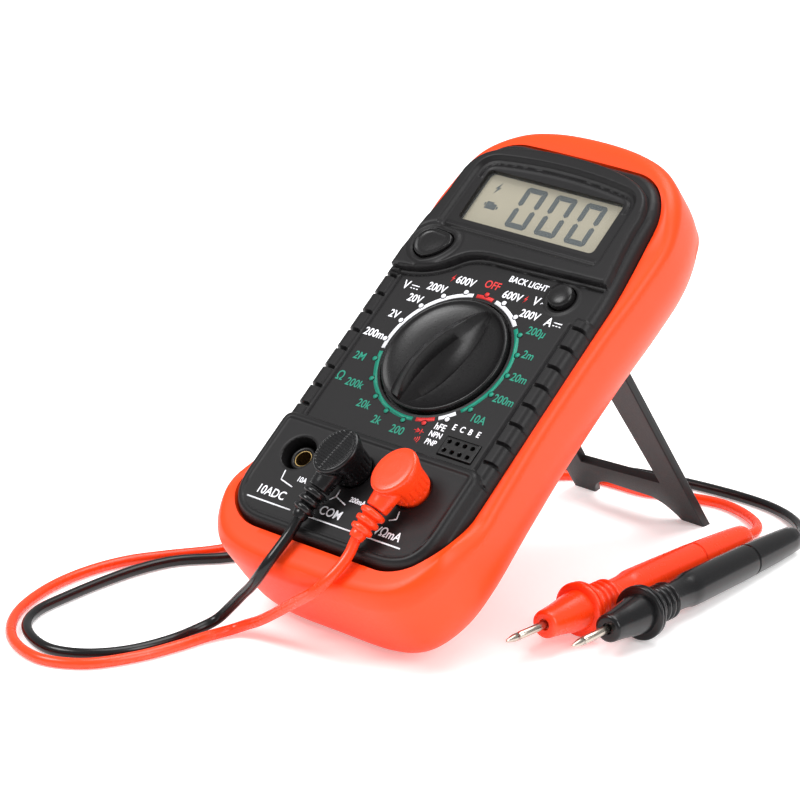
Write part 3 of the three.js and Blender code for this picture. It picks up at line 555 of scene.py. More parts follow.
DISPLAY_LINE = bezier(
    [(-32.2, 20.5)],
    ((-24.2, 20.5), (-18, 23), (-14, 27)),
    ((-11, 30), (-7, 30.6), (0, 30.6)),
    (32.2, 31.6),
    ((31.6, 38), (29.8, 46), (29.8, 51.5)),
    ((29.8, 60.5), (24, 63.2), (14, 64.8)),
    ((0, 66.6), (-14, 64.8)),
    ((-24, 63.2), (-30, 60.5), (-30, 51.5)),
    ((-30, 42), (-32.2, 34), (-32.2, 26)),
)
BEZEL_LINE = bezier(
    [(-24, 35)],
    (24, 35),
    ((27, 35), (27, 38)),
    (26.6, 54),
    ((26.6, 59.6), (21, 60.6)),
    ((0, 63.6), (-21, 60.6)),
    ((-26.6, 59.6), (-26.6, 54)),
    (-27, 38),
    ((-27, 35), (-24, 35)),
)
JACK_LINE = bezier(
    [(-19, -60.9)],
    (19, -60.9),
    ((29.2, -60.9), (32.9, -56.6), (32.9, -47)),
    (32.9, -32),
    ((32.9, -28), (28.9, -28)),
    (-28.9, -28),
    ((-32.9, -28), (-32.9, -32)),
    (-32.9, -47),
    ((-32.9, -56.6), (-29.2, -60.9), (-19, -60.9)),
)
HOLD_LINE = bezier(
    [(-5.6, 0.6)],
    ((-5.2, 4.2), (-1.5, 4.6)),
    (3, 4.2),
    ((6.2, 3.6), (5.4, 0.6)),
    ((3.6, -3.4), (-0.4, -4.6)),
    ((-4.8, -4.4), (-5.6, 0.6)),
)[::-1]


# ---- front shell
def circle_distance(cx, cy, r):
    return lambda x, y: np.hypot(x - cx, y - cy) - r


def line_distance(line):
    return lambda x, y: poly_distance(x, y, line)


def hold_hole(x, y):
    return poly_distance(x - HOLD[0], y - HOLD[1], HOLD_LINE) - 0.35


def window_hole(x, y):
    return box_distance(x, y, *WINDOW, 1.4)


def hfe_hole(x, y):
    return box_distance(x, y, *HFE, 5.7, 3.0, 0.5)


lamp_hole = circle_distance(*BACKLIGHT, LAMP_HOLE)
knob_well = circle_distance(0, 0, KNOB_WELL)
HOLES = [window_hole, hold_hole, lamp_hole, hfe_hole]
HOLE_FLOORS = (-0.2, -1.6, -1.6, -1.2)
WELLS = [circle_distance(*c, WELL) for c in JACKS]
WELL_FLOOR = -5.2
GRIP_PITCH = 6.1


def shell_height(x, y):
    """Height of the face over the dial plate: deck and grips, display frame and jack block."""
    display = poly_distance(x, y, DISPLAY_LINE)
    bezel = poly_distance(x, y, BEZEL_LINE)
    jack = poly_distance(x, y, JACK_LINE)
    edge = poly_distance(x, y, FACE_EDGE)
    # Side grips: raised blocks with grooves between them.
    side = soft_step(29.2 - np.abs(x), 0.5) * soft_step(-31.6 - y, 0.6) * soft_step(y - 21.2, 0.6)
    phase = (18 - y + GRIP_PITCH / 2) % GRIP_PITCH - GRIP_PITCH / 2
    notch = soft_step(np.abs(phase) - 0.5, 0.3)
    deck = 0.6 * side - 1.25 * notch * side
    # A border line round the dial, and the step line that follows the display frame.
    inner = np.maximum(np.abs(x) - 28.3, -28.9 - y)
    deck = deck - 0.4 * ridge(inner, 0.28) * (y < 19) * (y > -27.5)
    deck = deck - 0.55 * ridge(display - 1.0, 0.26) * (y < 33) * (np.abs(x) < 31.5)
    rise = 1.7 * steep(display) + 0.8 * round_step(display + WALL_DROP, 1.0)
    rise = rise - 1.3 * soft_step(bezel, 1.3)
    arch = (y > 53) * (np.abs(x) < 27)
    rise = rise - 0.35 * ridge(bezel + 2.3, 0.3) * arch + 0.22 * ridge(bezel + 3.2, 0.35) * arch
    rise = rise + 0.3 * ridge(y - 37.2, 0.5) * (np.abs(x) < 25) * (bezel < 0)
    block = 0.5 * steep(jack) + 2.2 * round_step(jack + WALL_DROP, 1.7)
    panel = jack + 2.7
    block = block - 0.35 * soft_step(panel, 0.4) - 0.35 * ridge(panel, 0.2)
    h = np.maximum(deck + rise * (display < 0), np.where(jack < 0, block, -9))
    h = np.where((display >= 0) & (jack >= 0), deck, h)
    h = h - 3.3 * (1 - round_step(edge, 2.3)) * np.where(jack < 0, 0.5, 1)
    well = knob_well(x, y)
    h = h - 1.0 * steep(well) + 0.12 * ridge(well - 0.2, 0.25)
    for hole in WELLS:
        d = hole(x, y)
        h = np.where(d < 0, h + (WELL_FLOOR - h) * steep(d), h) - 0.3 * ridge(d, 0.25)
    for hole, foot in zip(HOLES, HOLE_FLOORS):
        d = hole(x, y)
        h = np.where(d < 0, h + (foot - h) * steep(d), h)
    hold = hold_hole(x, y)
    h = h + 0.35 * ridge(hold - 0.9, 0.5) - 0.15 * ridge(hold - 2.2, 0.4)
    return h + 0.25 * ridge(lamp_hole(x, y) - 0.7, 0.45)


def half_width(y):
    """Half of the face's width at height y."""
    rx, ry = FACE_CORNER
    over = np.where(y > 0, (y - (FACE_TOP - ry)) / ry, (-y - (FACE_BOTTOM - ry)) / ry)
    over = np.clip(over, 0, 1)
    return (FACE_HALF - rx + rx * np.sqrt(np.maximum(0, 1 - over**2))) * taper(y)


def shell_grid(cell):
    """Rows of points across the face, each from one edge to the other."""
    ry = FACE_CORNER[1]
    turn = np.linspace(0, math.pi / 2, int(1.3 * ry / cell))[1:]
    low = -FACE_BOTTOM + ry - ry * np.sin(turn[::-1])
    high = FACE_TOP - ry + ry * np.sin(turn)
    middle = np.linspace(-FACE_BOTTOM + ry, FACE_TOP - ry, int((FACE_TOP + FACE_BOTTOM - 2 * ry) / cell))
    rows = np.concatenate([low, middle, high])
    u = np.linspace(-1, 1, int(2 * FACE_HALF / cell))
    x = half_width(rows)[:, None] * u[None, :]
    y = np.repeat(rows[:, None], len(u), axis=1)
    return x, y


def middle_of(v):
    return (v[:-1, :-1] + v[1:, :-1] + v[:-1, 1:] + v[1:, 1:]) / 4


def make_front_shell():
    cell = 0.29
    x, y = shell_grid(cell)
    walls = [line_distance(DISPLAY_LINE), line_distance(JACK_LINE), knob_well, *WELLS, *HOLES]
    inside = np.abs(poly_distance(x, y, FACE_EDGE)) > 1.5
    sx, sy = snap(x, y, walls, cell)
    x, y = np.where(inside, sx, x), np.where(inside, sy, y)
    top = shell_height(x, y)
    low = np.minimum(top, 0) - 1.7
    mx, my = middle_of(x), middle_of(y)
    keep = np.ones(mx.shape, bool)
    for hole in HOLES:
        keep &= hole(mx, my) > -WALL_DROP - 0.02
    points, faces = thick_field(x, y, top, low, keep)
    piece("meter_face", points, faces, PLASTIC, "case", "shell_plastic", replaces=["front_shell"], sharp=42)


make_front_shell()


# ---- solid helpers
def evaluated(obj):
    bpy.context.view_layer.update()
    return bpy.data.meshes.new_from_object(obj.evaluated_get(bpy.context.evaluated_depsgraph_get()))


def scratch(points, faces):
    data = bpy.data.meshes.new("scratch")
    data.from_pydata([tuple(p) for p in points], [], faces)
    data.validate()
    obj = bpy.data.objects.new("scratch", data)
    bpy.context.scene.collection.objects.link(obj)
    return obj


def combine(first, tools, operation):
    """Joins or cuts scratch solids, and returns the result as points and faces."""
    for tool in tools:
        change = first.modifiers.new("combine", "BOOLEAN")
        change.object = tool
        change.operation = operation
        change.solver = "EXACT"
    result = evaluated(first)
    for obj in (first, *tools):
        bpy.data.objects.remove(obj)
    return [tuple(v.co) for v in result.vertices], [tuple(p.vertices) for p in result.polygons]


def prism(line, z0, z1, bevel=0.0, holes=()):
    """A plate cut to a closed line, with rounded edges, as a scratch solid."""
    data = bpy.data.curves.new("plate", "CURVE")
    data.dimensions = "2D"
    data.fill_mode = "BOTH"
    data.extrude = (z1 - z0) / 2 - bevel
    data.bevel_depth = bevel
    data.bevel_resolution = 3
    data.offset = -bevel
    for loop in (line, *holes):
        spline = data.splines.new("POLY")
        spline.points.add(len(loop) - 1)
        for point, (x, y) in zip(spline.points, loop):
            point.co = (x, y, 0, 1)
        spline.use_cyclic_u = True
    curve = bpy.data.objects.new("plate", data)
    bpy.context.scene.collection.objects.link(curve)
    mesh = evaluated(curve)
    bpy.data.objects.remove(curve)
    mesh.transform(Matrix.Translation((0, 0, (z0 + z1) / 2)))
    obj = bpy.data.objects.new("plate", mesh)
    bpy.context.scene.collection.objects.link(obj)
    weld = obj.modifiers.new("weld", "WELD")
    weld.merge_threshold = 1e-4
    return obj


# ---- holster
HOLSTER_WIDE, HOLSTER_TOP, HOLSTER_FOOT, HOLSTER_BACK = 38.4, 76, 71, 34
BACK_ROUND = 21, 14, 13  # how round the back is at the sides, the top and the foot
RECESS_HALF, RECESS_LOW, RECESS_HIGH, RECESS_FLOOR = 23.3, -45.1, 38.8, -30.7


def back_inset(z, corner):
    into = min(max(-z - (HOLSTER_BACK - corner), 0), corner * 0.98)
    return corner - math.sqrt(corner * corner - into * into)


def ray_line(line, angles):
    """Where rays from the origin cross a closed outline."""
    a = np.arctan2(line[:, 1], line[:, 0])
    r = np.hypot(line[:, 0], line[:, 1])
    order = np.argsort(a)
    radius = np.interp(angles, a[order], r[order], period=2 * math.pi)
    return np.stack([radius * np.cos(angles), radius * np.sin(angles)], 1)


def make_holster():
    evenly = even(HOLSTER_LINE, 480, closed=True)
    angles = np.arctan2(evenly[:, 1], evenly[:, 0])
    outer = ray_line(HOLSTER_LINE, angles)
    face = ray_line(FACE_LINE, angles)
    body = ray_line(BODY_LINE, angles)

    def ring(z, side, top, foot, rise=0.0):
        x, y = outer[:, 0], outer[:, 1]
        above, below = y * (HOLSTER_TOP - top) / HOLSTER_TOP, y * (HOLSTER_FOOT - foot) / HOLSTER_FOOT
        wide = x * (HOLSTER_WIDE - side) / HOLSTER_WIDE
        return np.stack([wide, np.where(y > 0, above, below), z + rise * lip_rise(y)], 1)

    def back_ring(z):
        return ring(z, *[back_inset(z, corner) for corner in BACK_ROUND])

    # From the back's middle out and up to the lip, over it, and down inside to the pocket's floor.
    rings = [back_ring(-HOLSTER_BACK) * (scale, scale, 1) for scale in (0.2, 0.5, 0.8)]
    for t in np.linspace(0.0, math.pi / 2, 20):
        rings.append(back_ring(-HOLSTER_BACK + BACK_ROUND[0] * (1 - math.cos(t))))
    rings += [ring(z, 0, 0, 0) for z in (-11, -9)]
    for t in np.linspace(0, math.pi / 2, 10):
        inset = 2.4 * (1 - math.cos(t))
        rings.append(ring(-7.2 + 3.2 * math.sin(t), inset, inset, inset, 0.5 + t / math.pi))
    top = rings[-1]
    brow = np.stack([face[:, 0], face[:, 1], -4.0 + lip_rise(face[:, 1])], 1)
    out = brow[:, :2] / np.linalg.norm(brow[:, :2], axis=1)[:, None]
    rings += [top * (1 - t) + brow * t + (0, 0, 0.14) for t in (0.35, 0.7, 0.9)]
    rounded_in, inner = brow.copy(), brow.copy()
    rounded_in[:, :2] += out * 0.55
    inner[:, :2] += out * 0.35
    low = inner.copy()
    low[:, 2] = -4.9
    rings += [rounded_in + (0, 0, -0.05), inner + (0, 0, -0.45)]
    rings.append(np.minimum(inner + (0, 0, -1.2), np.maximum(low, -5.2)))
    for z, scale in ((-5.3, 1.004), (-12, 1.004), (-20, 1.0), (-24.5, 0.95), (-27.5, 0.88), (-28.4, 0.8)):
        rings.append(np.stack([body[:, 0] * scale, body[:, 1] * scale, np.full(len(body), z)], 1))
    shell = scratch(*skin(rings))
    recess = [
        (RECESS_HALF, RECESS_LOW), (RECESS_HALF, RECESS_HIGH),
        (-RECESS_HALF, RECESS_HIGH), (-RECESS_HALF, RECESS_LOW),
    ]
    cutter = prism(recess, -HOLSTER_BACK - 7, RECESS_FLOOR)
    points, faces = combine(shell, [cutter], "DIFFERENCE")
    piece("rubber_holster", points, faces, HOLSTER_RED, "case", "holster_rubber", FACE, ["holster"], 50)


make_holster()


# ---- selector knob
KNOB_RADIUS = 17.5
GRIP_START, GRIP_LENGTH, GRIP_HALF, GRIP_HIGH = -16.3, 32.0, 6.3, 7.9


def make_knob():
    r = KNOB_RADIUS
    dish = lathe(
        [
            (14, -0.7), (r - 0.5, -0.7), (r - 0.05, -0.5), (r, 0.0), (r, 0.9), (r - 0.08, 1.2),
            (r - 0.25, 1.42), (r - 0.5, 1.5), (r - 0.8, 1.42), (r - 1.1, 1.15), (r - 1.7, 0.85),
            (r - 3.2, 0.5), (r - 6, 0.22), (r - 9, 0.13), (5, 0.12), (1, 0.12),
        ],
        160,
    )
    skirt = scratch(*dish)
    rings = []
    for t in np.linspace(0, 1, 72):
        y = GRIP_START + GRIP_LENGTH * t
        spread = math.sin(math.pi * min(1, 0.15 + 0.83 * t) ** 0.95) ** 0.8
        width = max(GRIP_HALF * spread, 0.5 if t > 0.5 else 2.0)
        lift = GRIP_HIGH * math.sin(math.pi * (0.03 + 0.94 * t)) ** 0.62
        thin = min(1, width / 5)
        drift = thin * math.sin(2 * math.pi * (t - 0.06))  # the ridge bends to and fro along the grip
        peak = 0.2 * width - 0.5 * drift
        section = [  # x, and the share of the lift over the grip's foot
            (-width, 0), (-width * 0.97, 0.1), (-width * 0.86, 0.36), (-width * 0.3 - 0.2 * drift, 0.8),
            (peak - 0.35 * thin, 0.985), (peak, 1), (peak + 0.2 * thin, 0.96), (peak + 0.75 * thin, 0.5),
            (width * 0.62, 0.36), (width * 0.67, 0.3), (width * 0.98, 0),
        ]
        upper = [(x, y, 0.35 + share * lift) for x, share in section]
        rings.append([(width, y, -0.4), *upper[::-1], (-width, y, -0.4)])
    fin = scratch(*skin(rings[::-1]))
    points, faces = combine(skirt, [fin], "UNION")
    looks = KNOB_BLACK, "selector", "shell_plastic"
    piece("selector_dial", points, faces, *looks, SELECTOR, ["selector_knob"], 38)


make_knob()


# ---- push buttons
def make_buttons():
    profile = [
        (2, -2.6), (3.5, -2.6), (3.55, 1.1), (3.5, 1.5), (3.3, 1.85), (2.9, 2.1),
        (2.2, 2.32), (1.2, 2.46), (0.3, 2.5),
    ]
    cap = lathe(profile, 96, *BACKLIGHT)
    body = "backlight_button"
    piece("lamp_button", *cap, KNOB_BLACK, body, "shell_plastic", FACE, ["backlight_button"], 50)
    line = even(np.array(HOLD_LINE[::-1]), 120, closed=True)
    rings = []
    for scale, z in (
        (0.6, -2.6), (0.985, -2.6), (0.99, 2.4), (0.985, 2.9), (0.96, 3.25), (0.92, 3.4),
        (0.87, 3.36), (0.83, 3.15), (0.78, 2.95), (0.6, 3.0), (0.3, 3.08), (0.1, 3.1),
    ):
        rings.append([(HOLD[0] + x * scale, HOLD[1] + y * scale, z) for x, y in line])
    points, faces = skin(rings)
    piece("hold_key", points, faces, KNOB_BLACK, "hold_button", "shell_plastic", FACE, ["hold_button"], 50)


make_buttons()


# ---- transistor socket and jack ring
HFE_HALF, HFE_PITCH, HFE_HOLE = (5.45, 2.75), (2.5, 2.7), 0.62


def make_hfe():
    nx, ny = 90, 44
    x, y = [np.linspace(-half, half, n) for half, n in zip(HFE_HALF, (nx, ny))]
    gx, gy = np.meshgrid(x + HFE[0], y + HFE[1])
    edge = box_distance(gx, gy, *HFE, *HFE_HALF, 0.4)
    top = 0.45 - 0.3 * (1 - round_step(edge, 0.35))
    for i in range(4):
        for j in range(2):
            dx, dy = (i - 1.5) * HFE_PITCH[0], (j - 0.5) * HFE_PITCH[1]
            d = np.hypot(gx - HFE[0] - dx, gy - HFE[1] - dy) - HFE_HOLE
            top = top - 2.0 * np.clip(-d / 0.12, 0, 1)
    points, faces = thick_field(gx, gy, top, np.full_like(top, -2.4), np.ones((ny - 1, nx - 1), bool))
    piece("hfe_block", points, faces, KNOB_BLACK, "case", "black_gloss", FACE, ["hfe_socket"], 40)


make_hfe()


def make_jack_ring():
    """The insulating ring round the free jack's tube."""
    profile = [
        (2.35, -5.6), (3.45, -5.6), (3.5, -0.5), (3.35, -0.25), (3.1, -0.12), (2.7, -0.15),
        (2.45, -0.35), (2.3, -0.8),
    ]
    n = 96
    points = [p for r, z in profile for p in circle(r, z, n, *JACKS[0])]
    faces = []
    for k in range(len(profile)):
        base, over = k * n, (k + 1) % len(profile) * n
        faces += [(base + j, base + (j + 1) % n, over + (j + 1) % n, over + j) for j in range(n)]
    piece("jack_ring_1", points, faces, KNOB_BLACK, "case", "shell_plastic", sharp=60)


make_jack_ring()


# ---- kickstand
STAND = {"half": 22.6, "thick": 2.6, "reach": 73.4, "bar_low": 63.9, "bar_high": 55.8}
STAND_OPEN = math.radians(87.2)


def make_stand():
    half, thick, reach, bar_low, bar_high = STAND.values()
    line = bezier(
        [(-half, 0)],
        (-half, -reach),
        (-half + 6.8, -reach),
        ((-half + 9, -bar_low - 1), (-half + 15, -bar_low)),
        (half - 15, -bar_low),
        ((half - 10, -bar_low - 1.4), (half - 6.8, -reach)),
        (half, -reach),
        (half, 0),
    )
    window = [
        (-half + 10.4, -9), (half - 10.4, -9), (half - 8.6, -bar_high + 1), (-half + 8.6, -bar_high - 1),
    ]
    frame_plate = prism(line[::-1], -thick / 2, thick / 2, 0.35, [window])
    axle = lathe([(1.2, -half - 3.4), (1.4, -half - 3.2), (1.4, half + 3.2), (1.2, half + 3.4)], 32)
    pin = scratch([(z, x, y) for x, y, z in axle[0]], axle[1])
    hinge = Vector(joints["kickstand_fold"]["pos_m"])
    place = Matrix.Translation(hinge) @ Matrix.Rotation(LEAN + STAND_OPEN, 4, "X") @ WORLD
    # Everything below the floor is cut off, so that the two feet stand flat on it.
    floor_box = [
        place.inverted() @ Vector((sx * 0.06, sy * 0.12 + hinge.y, sz))
        for sz in (-0.02, 0.0)
        for sx, sy in ((-1, -1), (1, -1), (1, 1), (-1, 1))
    ]
    sides = [(3, 2, 1, 0), (4, 5, 6, 7), (0, 1, 5, 4), (1, 2, 6, 5), (2, 3, 7, 6), (3, 0, 4, 7)]
    floor_solid = scratch(floor_box, sides)
    joined = scratch(*combine(frame_plate, [pin], "UNION"))
    points, faces = combine(joined, [floor_solid], "DIFFERENCE")
    piece("rear_stand", points, faces, PLASTIC, "kickstand", "shell_plastic", place, ["kickstand"], 35)


make_stand()


# ---- display
def face_top(node):
    """Highest z of a CAD node in the face frame."""
    back = FACE.inverted()
    return max((back @ v.co).z for v in nodes[node].data.vertices)


def add_plate(points, faces, loop, low, high):
    """Adds a thin plate cut to a closed line."""
    n, base = len(loop), len(points)
    area = sum(a[0] * b[1] - b[0] * a[1] for a, b in zip(loop, [*loop[1:], loop[0]]))
    if area < 0:
        loop = loop[::-1]
    points.extend([(x, y, low) for x, y in loop] + [(x, y, high) for x, y in loop])
    faces.append(tuple(base + i for i in range(n))[::-1])
    faces.append(tuple(base + n + i for i in range(n)))
    faces.extend((base + i, base + (i + 1) % n, base + n + (i + 1) % n, base + n + i) for i in range(n))


def make_segments(name, loops):
    """Dark shapes just over the display's glass."""
    points, faces = [], []
    low = face_top("display_glass") + 0.03
    for loop in loops:
        add_plate(points, faces, loop, low, low + 0.04)
    piece(name, points, faces, SEGMENT, "case", "display_glass", sharp=30)


DIGIT_WIDE, DIGIT_HIGH, DIGIT_LOW, STROKE = 6.9, 13.2, 41.7, 1.6
DIGITS_LEFT = (-9.3, 0.5, 10.4)
STROKE_GAP, WAIST_GAP, CORNER_CUT = 0.24, 0.55, 0.5


def zero_segments(x0):
    """The six outer strokes of a seven-segment zero, with gaps between them."""
    s, g, c = STROKE, STROKE_GAP, CORNER_CUT
    x1, y0, y1 = x0 + DIGIT_WIDE, DIGIT_LOW, DIGIT_LOW + DIGIT_HIGH
    waist = (y0 + y1) / 2 + WAIST_GAP
    top = [
        (x0 + g + c, y1), (x1 - g - c, y1), (x1 - g, y1 - c), (x1 - s - g / 2, y1 - s),
        (x0 + s + g / 2, y1 - s), (x0 + g, y1 - c),
    ]
    upper_right = [
        (x1, y1 - g - c), (x1, waist + 0.35), (x1 - s / 2, waist - 0.25), (x1 - s, waist + 0.35),
        (x1 - s, y1 - s - g), (x1 - c, y1 - g),
    ]
    bottom, lower_right = [[(x, y0 + y1 - y) for x, y in stroke] for stroke in (top, upper_right)]
    upper_left, lower_left = [[(x0 + x1 - x, y) for x, y in stroke] for stroke in (upper_right, lower_right)]
    return [top, upper_right, bottom, lower_right, upper_left, lower_left]


def bolt(cx, cy, size):
    """A lightning bolt."""
    shape = [(0.25, 1), (-0.45, -0.1), (-0.05, -0.05), (-0.3, -1), (0.45, 0.2), (0.05, 0.12)]
    return [(cx + x * size, cy + y * size) for x, y in shape]


def make_display():
    make_segments("lcd_digits", [stroke for left in DIGITS_LEFT for stroke in zero_segments(left)])
    battery_sign = [
        [(-18.4, 45.4), (-15.0, 45.4), (-15.0, 47.2), (-16.2, 47.2), (-16.2, 47.7), (-18.4, 47.7)],
        [(-14.8, 45.8), (-14.3, 45.8), (-14.3, 46.6), (-14.8, 46.6)],
        [(-19.0, 46.3), (-18.6, 46.3), (-18.6, 47.2), (-19.0, 47.2)],
    ]
    make_segments("lcd_signs", [bolt(-17.9, 52.1, 1.9), *battery_sign])


make_display()


# ---- print on the face
DIAL_BAND = 19.5, 1.15  # radius and width of the coloured band round the selector
DOT_RING, DOT_RADIUS, RIM_RADIUS = 20.5, 0.68, 0.92
PRINT_LEVEL, RIM_LEVEL, DOT_LEVEL, PANEL_LEVEL = 0.02, 0.05, 0.1, JACK_RISE - 0.35
CAP_SHARE = 0.7  # a capital's height over the font's size


def text_mesh(body, x, y, cap, z):
    data = bpy.data.curves.new("text", "FONT")
    data.body = body
    data.size = cap / CAP_SHARE
    data.align_x = "CENTER"
    data.align_y = "CENTER"
    data.extrude = 0.02
    data.offset = 0.045
    data.resolution_u = 3
    obj = bpy.data.objects.new("text", data)
    obj.matrix_world = Matrix.Translation((x, y, z))
    bpy.context.scene.collection.objects.link(obj)
    mesh = evaluated(obj)
    mesh.transform(obj.matrix_world @ Matrix.Diagonal((0.86, 1, 1, 1)))
    bpy.data.objects.remove(obj)
    return [tuple(v.co) for v in mesh.vertices], [tuple(p.vertices) for p in mesh.polygons]


def bar(x0, y0, x1, y1, width):
    """A straight line from one point to another."""
    dx, dy = x1 - x0, y1 - y0
    n = math.hypot(dx, dy)
    ox, oy = -dy / n * width / 2, dx / n * width / 2
    return [(x0 + ox, y0 + oy), (x0 - ox, y0 - oy), (x1 - ox, y1 - oy), (x1 + ox, y1 + oy)]


def arc(r, width, start, end, cx=0.0, cy=0.0):
    """A band along a circle; angles run clockwise from straight up, in degrees."""
    turn = [math.radians(a) for a in np.linspace(start, end, max(6, int(abs(end - start) / 3)))]
    outer = [(cx + (r + width / 2) * math.sin(a), cy + (r + width / 2) * math.cos(a)) for a in turn]
    inner = [(cx + (r - width / 2) * math.sin(a), cy + (r - width / 2) * math.cos(a)) for a in turn[::-1]]
    return outer + inner


def band(start, end):
    return arc(*DIAL_BAND, start, end)


def printed(name, material, words, shapes):
    """One colour of print. words and shapes are groups, each with the height that it lies at."""
    points, faces = [], []
    for z, group in words:
        for word in group:
            p, f = text_mesh(*word, z)
            base = len(points)
            points += p
            faces += [tuple(base + i for i in q) for q in f]
    for z, group in shapes:
        for loop in group:
            add_plate(points, faces, loop, z - 0.02, z + 0.02)
    piece(name, points, faces, material, "case", "white_plastic")


def direct_sign(x, y, w):
    """The sign for direct current: a line over three dashes."""
    dash = w / 4.4
    starts = [x - w / 2 + i * (w - dash) / 2 for i in range(3)]
    dashes = [bar(a, y - 0.6, a + dash, y - 0.6, 0.3) for a in starts]
    return [bar(x - w / 2, y + 0.3, x + w / 2, y + 0.3, 0.3), *dashes]


def wave_sign(x, y, w):
    """The sign for alternating current: one wave."""
    t = np.linspace(0, 1, 17)
    up = [(x + w * (u - 0.5), y + 0.4 * math.sin(2 * math.pi * u) + 0.17) for u in t]
    down = [(x + w * (u - 0.5), y + 0.4 * math.sin(2 * math.pi * u) - 0.17) for u in t[::-1]]
    return up + down


def make_print():
    cap = 2.35
    white = [
        ("V", -24.9, 16.7, 2.6), ("20V", -19.7, 13.5, cap), ("200V", -15.5, 18.3, cap),
        ("600V", -8.5, 22.4, cap), ("600V", 7.3, 22.0, cap), ("V", 14.9, 22.5, 2.6),
        ("200V", 15.6, 18.2, cap), ("A", 22.1, 17.8, 2.6), ("2V", -22.6, 7.5, cap), ("200m", -24.6, 0.5, cap),
        ("hFE", 11.6, -19.3, 1.9), ("NPN", 11.7, -21.7, 1.6), ("PNP", 11.7, -24.1, 1.6),
        *[(letter, 15.5 + 2.6 * i, -18.1, 1.7) for i, letter in enumerate("ECBE")],
        ("BACK LIGHT", 9.6, 26.8, 1.8),
    ]
    green = [
        ("200µ", 20.6, 14, cap), ("2m", 22.5, 7.1, cap), ("20m", 24.2, 0.1, cap), ("200m", 24, -7, cap),
        ("10A", 20.4, -14.1, cap), ("2M", -24.3, -7, cap), ("200k", -20.5, -14.9, cap),
        ("20k", -13.9, -19.7, cap), ("2k", -7.4, -22.8, cap), ("200", 0.2, -23.7, cap),
        ("Ω", -26.0, -14.0, 2.7),
    ]
    dots, rims = {"white": [], "green": [], "red": []}, []
    for k in range(20):
        a = math.radians(18 * k)
        cx, cy = DOT_RING * math.sin(a), DOT_RING * math.cos(a)
        rims.append([(x, y) for x, y, z in circle(RIM_RADIUS, 0, 24, cx, cy)])
        colour = "red" if k in (0, 9) else "green" if 3 <= k <= 7 or 10 <= k <= 14 else "white"
        dots[colour].append([(x, y) for x, y, z in circle(DOT_RADIUS, 0, 24, cx, cy)])
    jacks = [
        ("10ADC", -20.9, -52.1, 2.5), ("COM", -0.6, -52.1, 2.5), ("VΩmA", 18.5, -52.3, 2.5),
        ("10A", -14.6, -46.2, 1.5), ("200mA", 4.7, -46.8, 1.4),
    ]
    underlines = [bar(a, -54.9, b, -54.9, 0.4) for a, b in ((-27.2, -12.3), (-8, 8.0), (12, 24.4))]
    brackets = [
        bar(*ends, 0.35)
        for ends in (
            (-21.1, -45, -20.6, -47.8), (-20.6, -47.8, -16.1, -48.8), (-2.2, -45.2, -2.1, -47.3),
            (-2.1, -47.3, -3.4, -48.7), (-2.1, -47.3, 1.9, -48.7), (17.7, -45.5, 18.3, -47.8),
            (18.3, -47.8, 16.4, -48.7),
        )
    ]
    signs = [*direct_sign(-22.0, 16.9, 2.6), *direct_sign(24.9, 17.9, 2.6), wave_sign(17.5, 22.2, 2.1)]
    diode = [
        [(5.6, -21.2), (5.6, -22.8), (7.0, -22.0)],
        bar(7.1, -21.2, 7.1, -22.8, 0.3),
        bar(4.8, -22, 8.0, -22, 0.22),
    ]
    buzz = [arc(r, 0.25, 60, 120, 6.0, -24.3) for r in (0.7, 1.3, 1.9)]
    printed("dot_rims", KNOB_BLACK, [], [(RIM_LEVEL, rims)])
    printed(
        "dial_print_white", INK_WHITE, [(PRINT_LEVEL + 0.02, white), (PANEL_LEVEL + 0.04, jacks)],
        [
            (PANEL_LEVEL, [*underlines, *brackets]), (DOT_LEVEL, dots["white"]),
            (PRINT_LEVEL, [band(262, 349), band(11, 44), *signs, band(137, 151)]),
        ],
    )
    printed(
        "dial_print_green", INK_GREEN, [(PRINT_LEVEL + 0.02, green)],
        [(DOT_LEVEL, dots["green"]), (PRINT_LEVEL, [band(47, 133), band(173, 259)])],
    )
    bolts = [bolt(-12.7, 22.4, 1.3), bolt(11.6, 22.3, 1.3)]
    printed(
        "dial_print_red", INK_RED, [(PRINT_LEVEL + 0.02, [("OFF", -0.2, 23.5, 2.3)])],
        [(DOT_LEVEL, dots["red"]), (PRINT_LEVEL, [*bolts, *diode, *buzz, band(-8, 8), band(154, 170)])],
    )


make_print()


# ---- plugs
def moved(shape, place):
    points, faces = shape
    return [tuple(place @ Vector(p)) for p in points], faces


PLUG_DROOP = 0.14  # radians that the neck hangs below level
RIB_STEP = 2.3


